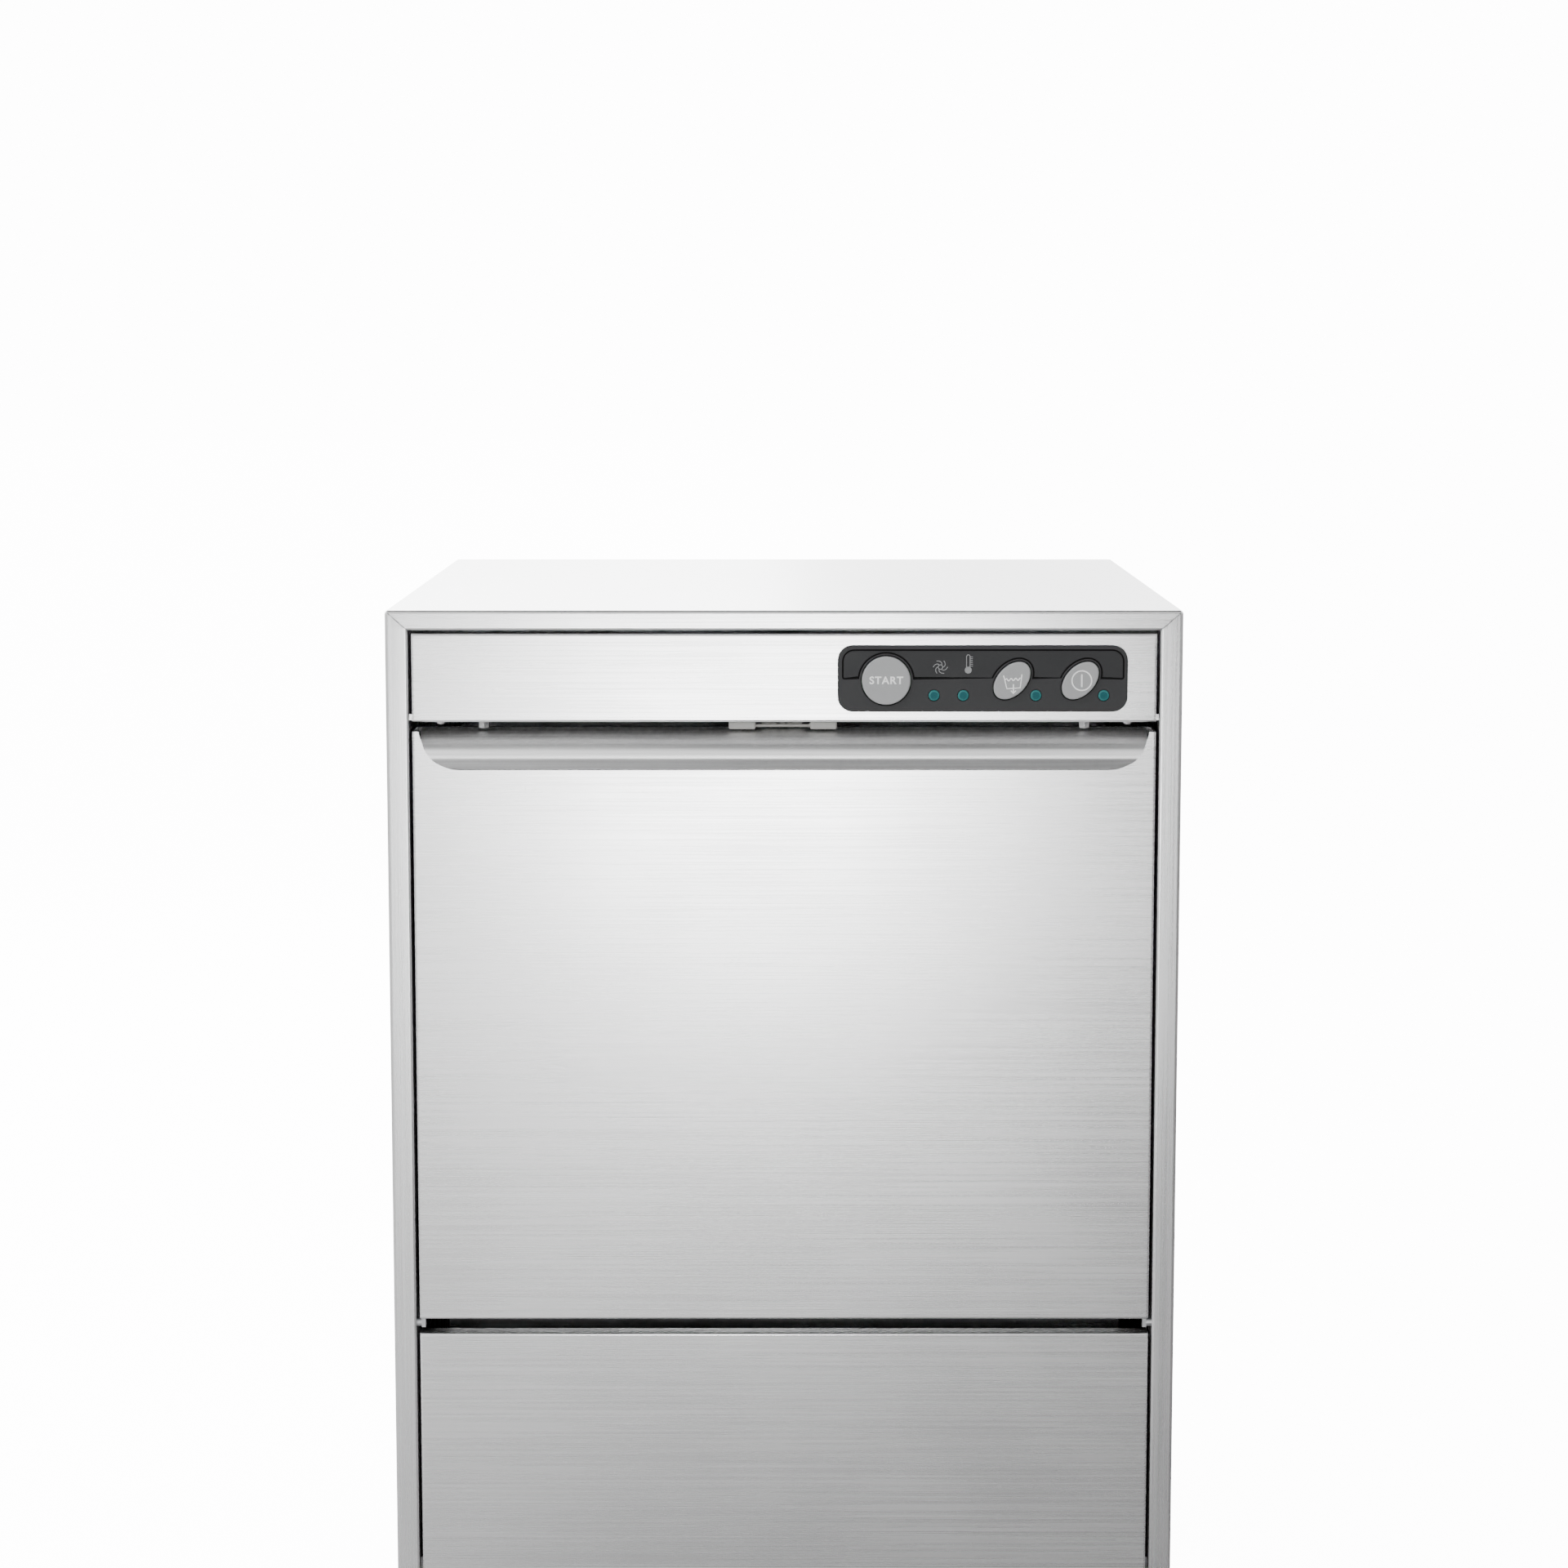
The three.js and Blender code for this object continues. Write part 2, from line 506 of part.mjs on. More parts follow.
// Hinge arm: a pin through the cabinet's return, a plate inside the door and a spring lever outside.
function hingeArm(side) {
  const plateX = -crankX - 3;
  const plate = prism([
    [hinge.y - 3, doorBottom + SHEET + FIT], [hinge.y + 20, doorBottom + SHEET + FIT],
    [hinge.y + 20, doorBottom + 70], [hinge.y - 3, doorBottom + 70],
  ], 'x', plateX, plateX + 3);
  const crank = prism([
    [hinge.y - HINGE_PIN, hinge.z - HINGE_PIN], [hinge.y + HINGE_PIN, hinge.z - HINGE_PIN],
    [hinge.y + HINGE_PIN, doorBottom + 12], [hinge.y - HINGE_PIN, doorBottom + 12],
  ], 'x', plateX, plateX + 3);
  const pin = cylinder('x', hinge.y, hinge.z, HINGE_PIN, -halfWidth + SHEET + 1.5, plateX + 2, 20);
  const lever = prism([
    [hinge.y - 2.5, hinge.z - 2.8], [hinge.y + HINGE_LEVER + 5, hinge.z - 4],
    [hinge.y + HINGE_LEVER + 5, hinge.z + 4], [hinge.y - 2.5, hinge.z + 2.8],
  ], 'x', -halfWidth + SHEET + 1.5, -halfWidth + SHEET + 4.5);
  return mirrored(join(plate, crank, pin, lever), side);
}

function hingeBracket(side) {
  const [x0, x1] = [-stripX - SHEET - FIT - 4, -stripX - SHEET - FIT];
  const plate = block(x0, x1, frontY + SHEET * 2, frontY + 40, hinge.z - 60, hinge.z + 14);
  const bore = cylinder('x', hinge.y, hinge.z, HINGE_PIN / Math.cos(Math.PI / 20) + PIN_CLEARANCE, x0 - 1, x1 + 1, 20);
  return mirrored(cut(plate, bore), side);
}

// The spring's close-wound coils, drawn as one ribbed barrel with a hook eye at each end.
function doorSpring(side) {
  const x = -halfWidth + SHEET + 9.5;
  const y = hinge.y + HINGE_LEVER;
  const [low, high] = [PLINTH + 24, hinge.z - 14];
  const pitch = 20;
  const ribs = Math.floor((high - low) / pitch);
  const barrel = [[0, low]];
  for (let i = 0; i < ribs; i += 1) {
    const z = low + i * pitch;
    barrel.push([SPRING_RADIUS - 1, z], [SPRING_RADIUS, z + pitch / 2]);
  }
  barrel.push([SPRING_RADIUS - 1, high], [0, high]);
  const hook = cylinder('z', 0, 0, 1.2, low - 3, hinge.z - 6, 8);
  return mirrored(join(turned(barrel, 8), hook).translate([x, y, 0]), side);
}

add('door_outer_skin', doorOuterSkin(), 'brushedSteel');
add('door_handle', doorHandle(), 'brushedSteel');
add('door_inner_panel', doorInnerPanel(), 'tubSteel');
add('door_gasket', doorGasket(), 'blackRubber');
[['left', -1], ['right', 1]].forEach(([name, side]) => {
  add(`hinge_arm_${name}`, hingeArm(side), 'galvanised');
  add(`hinge_bracket_${name}`, hingeBracket(side), 'galvanised');
  add(`door_spring_${name}`, doorSpring(side), 'springSteel');
});

// ---- Wash chamber ----
const post = { wash: TUB_FLOOR + 21, rinse: TUB_FLOOR + 39, cap: TUB_FLOOR + 53 };
const upperPost = { wash: tubTop - 24, rinse: tubTop - 40, cap: tubTop - 52 };

function washTub() {
  const inside = TUB_SHEET;
  const shell = block(-tubX, tubX, tubFront, tubRear, TUB_FLOOR, tubTop)
    .subtract(block(-tubX + inside, tubX - inside, tubFront + inside, tubRear - inside,
      TUB_FLOOR + inside, tubTop - inside));
  const flange = block(-tubX - 14, tubX + 14, tubFront, tubFront + inside, doorBottom - 3, tubTop + 6);
  const mouth = block(-mouthX, mouthX, tubFront - 1, tubFront + inside + 1, MOUTH_SILL, mouthTop);
  const well = block(-SUMP_HALF_X + 8, SUMP_HALF_X - 8, SUMP_FRONT + 8, SUMP_REAR - 8, TUB_FLOOR - 1, TUB_FLOOR + 3);
  const roofHole = cylinder('z', 0, ARM_Y, POST_RADIUS + 0.4, tubTop - 3, tubTop + 1, 24);
  return cut(join(shell, flange), mouth, well, roofHole);
}

function sumpTank() {
  const rim = TUB_FLOOR - FIT;
  const wall = TUB_SHEET;
  const box = block(-SUMP_HALF_X + 10, SUMP_HALF_X - 10, SUMP_FRONT + 10, SUMP_REAR - 10, SUMP_BOTTOM, rim);
  const flange = block(-SUMP_HALF_X, SUMP_HALF_X, SUMP_FRONT, SUMP_REAR, rim - wall, rim);
  const inner = block(-SUMP_HALF_X + 10 + wall, SUMP_HALF_X - 10 - wall, SUMP_FRONT + 10 + wall,
    SUMP_REAR - 10 - wall, SUMP_BOTTOM + wall, rim + 1);
  return cut(join(box, flange), inner,
    cylinder('z', 0, ARM_Y, PIPE_RADIUS + 0.4, SUMP_BOTTOM - 1, SUMP_BOTTOM + 3, 24),
    cylinder('z', drainPump.x, drainPump.y, 11, SUMP_BOTTOM - 1, SUMP_BOTTOM + 3, 20),
    cylinder('x', suction.y, suction.z, 14.4, SUMP_HALF_X - 13, SUMP_HALF_X - 7, 20),
    ...heaterLegs.map((y) => cylinder('x', y, heaterZ, 5, -SUMP_HALF_X + 8, -SUMP_HALF_X + 13, 12)));
}

const drainPump = { x: -80, y: -60 };
const suction = { y: -80, z: 186 };
const heaterZ = 182;
const heaterLegs = [ARM_Y - 27, ARM_Y + 27];

// A flat strainer over the sump, with rows of slots and a round way for the arm's post.
function tankFilter() {
  const level = TUB_FLOOR + TUB_SHEET + FIT;
  const middle = (SUMP_FRONT + SUMP_REAR) / 2;
  const plate = block(-SUMP_HALF_X, SUMP_HALF_X, SUMP_FRONT, SUMP_REAR, level, level + 1.5);
  const slots = [];
  for (let column = -2; column <= 2; column += 1) {
    for (let row = -2; row <= 2; row += 1) {
      const [x, y] = [column * 54, middle + row * 54];
      if (column !== 0 || Math.abs(y - ARM_Y) > 40) {
        slots.push(block(x - 19, x + 19, y - 6, y + 6, level - 1, level + 3));
      }
    }
  }
  return cut(plate, ...slots, cylinder('z', 0, ARM_Y, POST_RADIUS + 6.4, level - 1, level + 3, 24));
}

// Lower post: it stands on the pump's delivery pipe, with a shoulder under the wash arm.
function lowerPost() {
  const bore = PIPE_RADIUS - 3;
  return turned([
    [bore, SUMP_BOTTOM + 4], [POST_RADIUS + 6, SUMP_BOTTOM + 4], [POST_RADIUS + 6, post.wash - 0.3],
    [POST_RADIUS, post.wash - 0.3], [POST_RADIUS, post.cap - 0.3], [bore, post.cap - 0.3],
  ]).translate([0, ARM_Y, 0]);
}

function upperPostPipe() {
  const bore = PIPE_RADIUS - 3;
  return turned([
    [bore, upperPost.cap + 8.3], [POST_RADIUS, upperPost.cap + 8.3], [POST_RADIUS, upperPost.wash + 12.5],
    [POST_RADIUS + 6, upperPost.wash + 12.5], [POST_RADIUS + 6, tubTop - TUB_SHEET - FIT],
    [POST_RADIUS, tubTop - TUB_SHEET - FIT], [POST_RADIUS, tubTop + 4], [bore, tubTop + 4],
  ]).translate([0, ARM_Y, 0]);
}

const hubBore = POST_RADIUS / Math.cos(Math.PI / 32) + RUNNING;

// A spray arm: a long blade with round ends on a hub that turns on the post.
function sprayArm(z, reach, height, rootWidth, tipWidth, swing) {
  const blade = new THREE.Shape();
  const tip = tipWidth / 2;
  blade.moveTo(-reach + tip, -tip);
  blade.lineTo(0, -rootWidth / 2);
  blade.lineTo(reach - tip, -tip);
  blade.absarc(reach - tip, 0, tip, -Math.PI / 2, Math.PI / 2);
  blade.lineTo(0, rootWidth / 2);
  blade.lineTo(-reach + tip, tip);
  blade.absarc(-reach + tip, 0, tip, Math.PI / 2, 3 * Math.PI / 2);
  const hub = cylinder('z', 0, 0, hubBore + 9, z, z + height, 32);
  const bore = cylinder('z', 0, 0, hubBore, z - 1, z + height + 1, 32);
  return cut(join(prism(blade, 'z', z, z + height), hub), bore).rotate([0, 0, swing]).translate([0, ARM_Y, 0]);
}

// A screw cap with a knurled rim holds the arms on their post.
function armCap(z, up) {
  const cap = turned([[0, 0], [17, 0], [18, 1.5], [18, 6], [14, 8], [0, 8]], 24);
  return (up ? cap : cap.mirror([0, 0, 1])).translate([0, ARM_Y, z]);
}

function rackGuide(side) {
  const level = RACK_LEVEL - FIT;
  const wallX = -tubX + TUB_SHEET + FIT;
  return mirrored(prism(folded([
    [wallX + TUB_SHEET / 2, level - 22], [wallX + TUB_SHEET / 2, level - TUB_SHEET / 2],
    [-RACK_SIZE / 2 + 10, level - TUB_SHEET / 2],
  ], TUB_SHEET), 'y', rackMiddleY - RACK_SIZE / 2 + 8, rackMiddleY + RACK_SIZE / 2), side);
}

// A square plate rack: a plain open box with rows of slots in its floor.
function dishRack() {
  const half = RACK_SIZE / 2;
  const wall = 4;
  const slotHalf = 7;
  const [low, high] = [RACK_LEVEL, RACK_LEVEL + RACK_HEIGHT];
  const basket = block(-half, half, -half, half, low, high)
    .subtract(block(-half + wall, half - wall, -half + wall, half - wall, low + wall, high + 1));
  const pitch = (RACK_SIZE - 20) / 5;
  const slots = [];
  for (let i = -2; i <= 2; i += 1) {
    for (let j = -2; j <= 2; j += 1) {
      slots.push(block(i * pitch - slotHalf, i * pitch + slotHalf, (j - 0.5) * pitch + 10, (j + 0.5) * pitch - 10,
        low - 1, low + wall + 1));
    }
  }
  return cut(basket, ...slots).translate([0, rackMiddleY, 0]);
}

// A U of heating tube through the sump's wall, on a round plate outside it.
function tankHeater() {
  const [y0, y1] = heaterLegs;
  const reach = SUMP_HALF_X - 36;
  const start = -SUMP_HALF_X + 6;
  const tube = round([[start, y0, heaterZ], [-20, y0, heaterZ], [reach - 30, y0, heaterZ], [reach - 8, y0 + 8, heaterZ],
    [reach, ARM_Y, heaterZ], [reach - 8, y1 - 8, heaterZ], [reach - 30, y1, heaterZ], [-20, y1, heaterZ],
    [start, y1, heaterZ]], 4, 24, 6);
  return join(tube, cylinder('x', ARM_Y, heaterZ, 37, start - 3, start + 3.4, 28),
    ...heaterLegs.map((y) => cylinder('x', y, heaterZ, 3, start - 11, start - 2, 8)));
}

add('wash_tub', washTub(), 'tubSteel');
add('sump_tank', sumpTank(), 'tubSteel');
add('tank_filter', tankFilter(), 'tubSteel');
add('lower_arm_post', lowerPost(), 'tubSteel');
add('upper_arm_post', upperPostPipe(), 'tubSteel');
add('lower_wash_arm', sprayArm(post.wash, ARM_REACH, WASH_ARM_HEIGHT, 46, 30, 20), 'tubSteel');
add('lower_rinse_arm', sprayArm(post.rinse, ARM_REACH - 8, RINSE_ARM_HEIGHT, 24, 14, 65), 'tubSteel');
add('upper_wash_arm', sprayArm(upperPost.wash, ARM_REACH, WASH_ARM_HEIGHT, 46, 30, 20), 'tubSteel');
add('upper_rinse_arm', sprayArm(upperPost.rinse, ARM_REACH - 8, RINSE_ARM_HEIGHT, 24, 14, 65), 'tubSteel');
add('lower_arm_cap', armCap(post.cap, true), 'bluePlastic');
add('upper_arm_cap', armCap(upperPost.cap + 8, false), 'bluePlastic');
add('rack_guide_left', rackGuide(-1), 'tubSteel');
add('rack_guide_right', rackGuide(1), 'tubSteel');
add('dish_rack', dishRack(), 'bluePlastic');
add('tank_heater', tankHeater(), 'springSteel');

// ---- Pumps, boiler and services under the wash chamber ----
const alongY = (shape, x, y, z) => shape.rotate([-90, 0, 0]).translate([x, y, z]);
const casing = { front: -22, rear: 22, wall: 3 };
const pipeZ = PUMP.z - 14;

// The casing is a drum with a suction neck at the front and a delivery stub towards the middle.
function pumpCasing() {
  const { x, y, z, radius } = PUMP;
  const { front, rear, wall } = casing;
  const drum = alongY(turned([
    [15, front], [radius, front], [radius, rear], [9, rear], [9, rear - wall], [radius - wall, rear - wall],
    [radius - wall, front + wall], [15, front + wall],
  ], 20), x, y, z);
  const neck = cut(round([
    [SUMP_HALF_X - 8, suction.y, suction.z], [SUMP_HALF_X + 20, suction.y, suction.z],
    [x - 16, suction.y, suction.z - 6], [x, suction.y, suction.z - 26], [x, suction.y, z + 26],
    [x, suction.y + 8, z + 6], [x, suction.y + 24, z], [x, y + front + 1, z]], 17, 16, 8),
  round([
    [SUMP_HALF_X - 12, suction.y, suction.z], [SUMP_HALF_X + 20, suction.y, suction.z],
    [x - 16, suction.y, suction.z - 6], [x, suction.y, suction.z - 26], [x, suction.y, z + 26],
    [x, suction.y + 8, z + 6], [x, suction.y + 24, z], [x, y + front + 6, z]], 13, 16, 8));
  const stub = cylinder('x', y, pipeZ, PIPE_RADIUS + 2, x - radius - 10, x - radius + 8, 20);
  const way = cylinder('x', y, pipeZ, PIPE_RADIUS - 1, x - radius - 11, x - radius + 20, 20)
    .intersect(block(x - radius - 20, x - 20, y - 20, y + 20, 0, 300));
  return cut(join(drum, neck, stub), way, alongY(cylinder('z', 0, 0, 12, front - 2, front + wall + 1, 16), x, y, z));
}

function pumpMotor() {
  const { x, y, z } = PUMP;
  const start = casing.rear + FIT;
  return cut(alongY(turned([
    [5.6, start], [26, start], [26, start + 8], [38, start + 14], [38, start + 96], [30, start + 108], [5.6, start + 108],
  ], 28), x, y, z), alongY(cylinder('z', 0, 0, 5.5, start - 1, start + 90, 24), x, y, z));
}

// Shaft and impeller in one: a disc with six vanes in the casing, the shaft back through the motor.
function pumpRotor() {
  const { x, y, z, radius } = PUMP;
  const { front, rear, wall } = casing;
  const disc = cylinder('z', 0, 0, radius - wall - 4, rear - wall - 8, rear - wall - 4, 28);
  const shaft = cylinder('z', 0, 0, 5, front + wall + 4, rear + 104, 24);
  const vane = block(4, radius - wall - 5, -1.2, 1.2, front + wall + 8, rear - wall - 5);
  const vanes = Array.from({ length: 6 }, (_, i) => vane.rotate([0, 0, i * 60]));
  return alongY(join(disc, shaft, ...vanes), x, y, z);
}

// Delivery pipe: from the pump to the lower post, and up the back to the upper post.
function washManifold() {
  const r = PIPE_RADIUS;
  const backY = tubRear + r + 3;
  const overZ = tubTop + 12 + r;
  const leg = (axis, a, b, from, to) => cylinder(axis, a, b, r, from, to, 12);
  const elbow = (x, y, z) => solid(new THREE.SphereGeometry(r, 12, 8).rotateX(Math.PI / 2).translate(x, y, z));
  const startX = PUMP.x - PUMP.radius - 10 - FIT;
  const body = join(
    leg('x', PUMP.y, pipeZ, 0, startX), elbow(0, PUMP.y, pipeZ), leg('z', 0, ARM_Y, pipeZ, SUMP_BOTTOM + 3.6),
    leg('y', 0, pipeZ, PUMP.y, backY), elbow(0, backY, pipeZ), leg('z', 0, backY, pipeZ, overZ),
    elbow(0, backY, overZ), leg('y', 0, overZ, ARM_Y, backY), elbow(0, ARM_Y, overZ),
    leg('z', 0, ARM_Y, tubTop + 4.4, overZ));
  return body;
}

function boiler() {
  const { x, z, radius, front, rear } = BOILER;
  const inner = radius - 2;
  const drum = alongY(turned([
    [22, front], [radius, front], [radius, rear - 12], [radius - 14, rear], [0, rear], [0, rear - 3],
    [inner - 14, rear - 3], [inner, rear - 14], [inner, front + 2], [22, front + 2],
  ], 20), x, 0, z);
  const port = cylinder('z', x, 60, 8, z + radius - 4, z + radius + 8, 16);
  return cut(join(drum, port), cylinder('z', x, 60, 5, z + radius - 6, z + radius + 9, 12));
}

function boilerHeater() {
  const { x, z, front, rear } = BOILER;
  const reach = rear - 40;
  const tube = round([
    [x - 12, front - 2, z], [x - 12, 0, z], [x - 12, reach - 16, z], [x - 8, reach - 4, z], [x, reach, z],
    [x + 8, reach - 4, z], [x + 12, reach - 16, z], [x + 12, 0, z], [x + 12, front - 2, z]], 3.5, 22, 6);
  const flange = cylinder('y', x, z, 30, front - 6, front - FIT, 24);
  const tags = [-12, 12].map((dx) => cylinder('y', x + dx, z, 2.5, front - 16, front - 5, 8));
  return join(tube, flange, ...tags);
}

function drainPumpBody() {
  const { x, y } = drainPump;
  return join(
    turned([[0, 76], [26, 76], [30, 80], [30, 108], [20, 116], [10, 118], [10, SUMP_BOTTOM - FIT], [0, SUMP_BOTTOM - FIT]], 24)
      .translate([x, y, 0]),
    cylinder('y', x, drainPlace[1], 8, y + 20, y + 44, 16),
  );
}

// Drain hose from the pump to the outlet spigot through the rear panel.
function drainHose() {
  const [endX, z] = drainPlace;
  const { x, y } = drainPump;
  return round([[x, y + 44 + FIT, z], [x, y + 70, z], [x - 8, y + 130, z], [endX + 4, 170, z], [endX, 230, z],
    [endX, rearPanelY - 10, z], [endX, rearY - 3, z]], 9, 18, 8);
}

// Solenoid valve with its thread through the rear panel and its short pipe to the boiler's port.
function inletValve() {
  const [x, z] = inletPlace;
  const portTop = BOILER.z + BOILER.radius + 8 + FIT;
  const pipe = round([[x, rearPanelY - 38, z], [x, 190, z], [x, 110, z + 2], [x, 72, z], [x, 60, z - 8],
    [x, 60, portTop]], 5, 16, 8);
  return join(
    pipe,
    block(x - 17, x + 17, rearPanelY - 42, rearPanelY - FIT, z - 15, z + 13),
    cylinder('y', x, z, 9.5, rearPanelY - 2, rearY - 2, 20),
    cylinder('z', x, rearPanelY - 24, 12, z - 34, z - 14, 20),
  );
}

function chemicalDosers() {
  const [x, y, z] = [200, -225, PLINTH + 8];
  const body = block(x - 36, x + 36, y - 18, y + 26, z, z + 60);
  const heads = [-18, 18].map((dx) => cylinder('y', x + dx, z + 34, 15, y - 28, y - 17, 20));
  return join(body, ...heads);
}

function terminalBox() {
  const [x, z] = glandPlace;
  return join(
    block(x - 32, x + 12, rearPanelY - 46, rearPanelY - FIT, z - 28, z + 28),
    cylinder('y', x, z, 9.5, rearPanelY - 2, rearPanelY + 6, 20),
    cylinder('y', x, z, 6.5, rearPanelY + 5, rearY - 2, 16),
  );
}

add('wash_pump_casing', pumpCasing(), 'blackPlastic');
add('wash_pump_motor', pumpMotor(), 'castAluminium');
add('pump_rotor', pumpRotor(), 'springSteel');
add('wash_manifold', washManifold(), 'lightPlastic');
add('boiler', boiler(), 'tubSteel');
add('boiler_heater', boilerHeater(), 'springSteel');
add('drain_pump', drainPumpBody(), 'blackPlastic');
add('drain_hose', drainHose(), 'lightPlastic');
add('inlet_valve', inletValve(), 'lightPlastic');
add('chemical_dosers', chemicalDosers(), 'lightPlastic');
add('terminal_box', terminalBox(), 'blackPlastic');

export default dishwasher;
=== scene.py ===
"""Undercounter dishwasher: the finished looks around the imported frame. Metres, +Z up, front at -Y."""
import math

import bmesh
import bpy
from mathutils import Matrix, Vector
from mathutils.geometry import interpolate_bezier


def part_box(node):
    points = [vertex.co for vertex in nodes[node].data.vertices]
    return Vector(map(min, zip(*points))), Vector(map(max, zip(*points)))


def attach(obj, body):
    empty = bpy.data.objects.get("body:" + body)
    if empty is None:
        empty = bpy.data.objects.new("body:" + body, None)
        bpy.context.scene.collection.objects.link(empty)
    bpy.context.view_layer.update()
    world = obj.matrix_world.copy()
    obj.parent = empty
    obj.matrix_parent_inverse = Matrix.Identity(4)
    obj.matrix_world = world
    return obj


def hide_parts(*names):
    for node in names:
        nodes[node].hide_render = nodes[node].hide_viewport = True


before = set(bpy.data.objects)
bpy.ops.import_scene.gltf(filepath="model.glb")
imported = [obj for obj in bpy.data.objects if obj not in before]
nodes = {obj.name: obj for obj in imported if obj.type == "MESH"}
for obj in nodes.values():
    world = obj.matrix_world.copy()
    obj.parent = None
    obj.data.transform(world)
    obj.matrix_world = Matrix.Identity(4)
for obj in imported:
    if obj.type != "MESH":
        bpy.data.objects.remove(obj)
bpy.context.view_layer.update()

# ---- Camera ----
# Square on to the door and a little above the top, so the top panel shows as a narrow band.
CAMERA_REACH, CAMERA_HEIGHT, CAMERA_DIP = 2.69, 1.031, math.radians(7.25)
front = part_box("door_outer_skin")[0].y
camera = bpy.data.objects.new("camera", bpy.data.cameras.new("camera"))
camera.data.lens = 82.5
camera.data.sensor_width = 36
camera.location = (0, front - CAMERA_REACH, CAMERA_HEIGHT)
camera.rotation_euler = (math.radians(90) - CAMERA_DIP, 0, 0)
bpy.context.scene.collection.objects.link(camera)
bpy.context.scene.camera = camera

# ---- Studio ----
# A pale paper floor in a white room: bright behind the machine, calmer in front of it, and one low
# soft light by the camera that spreads over the middle of the door.
world = bpy.data.worlds.new("studio")
bpy.context.scene.world = world
world.use_nodes = True
air = world.node_tree
air.nodes.clear()


def node(tree, kind, fixed=None, **settings):
    """Adds a node with its settings, and with the constants that stay on its input sockets."""
    made = tree.nodes.new(kind)
    for key, value in settings.items():
        setattr(made, key, value)
    for key, value in (fixed or {}).items():
        made.inputs[key].default_value = value
    return made


def wire(tree, source, target):
    tree.links.new(source, target)


def spread(tree, source, start, end, low, high):
    """Brings a value from the range start..end to low..high, held at both ends."""
    made = node(tree, "ShaderNodeMapRange", interpolation_type="SMOOTHSTEP")
    for socket, value in zip(made.inputs[1:5], (start, end, low, high)):
        socket.default_value = value
    wire(tree, source, made.inputs["Value"])
    return made.outputs[0]


def sum_of(tree, *sources):
    total = sources[0]
    for source in sources[1:]:
        made = node(tree, "ShaderNodeMath", operation="ADD")
        wire(tree, total, made.inputs[0])
        wire(tree, source, made.inputs[1])
        total = made.outputs[0]
    return total


BACKDROP = 14.0
FLOOR_GLOW = BACKDROP - 1.6
view = node(air, "ShaderNodeTexCoord")
parts = node(air, "ShaderNodeSeparateXYZ")
wire(air, view.outputs["Generated"], parts.inputs[0])
rear_glow = spread(air, parts.outputs["Y"], 0.1, 0.75, 0.0, 4.6)
left_glow = spread(air, parts.outputs["X"], -0.75, 0.1, 1.5, 0.0)
right_glow = spread(air, parts.outputs["X"], 0.3, 0.8, 0.0, 1.0)
ceiling = spread(air, parts.outputs["Z"], 0.2, 0.6, 0.3, 1.5)
zenith = spread(air, parts.outputs["Z"], 0.62, 0.93, 1.0, 0.06)
level = node(air, "ShaderNodeMath", operation="MULTIPLY")
wire(air, sum_of(air, rear_glow, left_glow, right_glow, ceiling), level.inputs[0])
wire(air, zenith, level.inputs[1])
room = node(air, "ShaderNodeBackground")
wire(air, level.outputs[0], room.inputs["Strength"])
backdrop = node(air, "ShaderNodeBackground", {"Strength": BACKDROP})
for shade in (room, backdrop):
    shade.inputs["Color"].default_value = (1, 1, 1, 1)
seen = node(air, "ShaderNodeLightPath")
both = node(air, "ShaderNodeMixShader")
wire(air, seen.outputs["Is Camera Ray"], both.inputs["Fac"])
wire(air, room.outputs[0], both.inputs[1])
wire(air, backdrop.outputs[0], both.inputs[2])
wire(air, both.outputs[0], node(air, "ShaderNodeOutputWorld").inputs["Surface"])


def soft_light(name, place, aim, width, height, power):
    light = bpy.data.objects.new(name, bpy.data.lights.new(name, "AREA"))
    light.data.shape = "RECTANGLE"
    light.data.size = width
    light.data.size_y = height
    light.data.energy = power
    light.location = place
    light.rotation_euler = (Vector(aim) - Vector(place)).to_track_quat("-Z", "Y").to_euler()
    bpy.context.scene.collection.objects.link(light)


soft_light("front_light", (-0.05, front - 3.0, 0.40), (0.0, front, 0.6), 0.5, 0.55, 19)
soft_light("left_light", (-2.4, -1.6, 2.4), (0, 0, 0.5), 1.6, 1.6, 40)
soft_light("rear_light", (-0.9, 3.2, 1.9), (0, 0, 0.7), 2.0, 1.4, 50)

FLOOR_HALF = 30
floor_mesh = bmesh.new()
bmesh.ops.create_grid(floor_mesh, x_segments=1, y_segments=1, size=FLOOR_HALF)
floor_data = bpy.data.meshes.new("floor")
floor_mesh.to_mesh(floor_data)
floor_mesh.free()
floor = bpy.data.objects.new("floor", floor_data)
bpy.context.scene.collection.objects.link(floor)
paper = bpy.data.materials.new("pale_floor")
paper.use_nodes = True
sheet = paper.node_tree
matt = sheet.nodes["Principled BSDF"]
matt.inputs["Roughness"].default_value = 0.9
matt.inputs["Specular IOR Level"].default_value = 0.1
matt.inputs["Emission Color"].default_value = (1, 1, 1, 1)
# Painted shade: the floor's colour falls off towards +X, darker on the right. Off camera rays it also drops
# by 0.55, so it reflects darker in the steel than it looks. To the camera it glows evenly.
looked_at = node(sheet, "ShaderNodeLightPath").outputs["Is Camera Ray"]
wire(sheet, spread(sheet, looked_at, 0, 1, 0, FLOOR_GLOW), matt.inputs["Emission Strength"])
across = node(sheet, "ShaderNodeSeparateXYZ")
wire(sheet, node(sheet, "ShaderNodeTexCoord").outputs["Object"], across.inputs[0])
wire(sheet, sum_of(sheet, spread(sheet, across.outputs["X"], -0.8, 0.8, 0.36, 0.1),
                   spread(sheet, looked_at, 0, 1, 0, 0.55)), matt.inputs["Base Color"])
floor_data.materials.append(paper)

# ---- Cabinet shell: top panel and side panels ----
# Brushed stainless sheet, 1.2 mm. Each piece is folded round its front and rear edges, and the
# three meet in mitred seams that start at the two upper front corners.
MM = 0.001
SHEET = 1.2 * MM


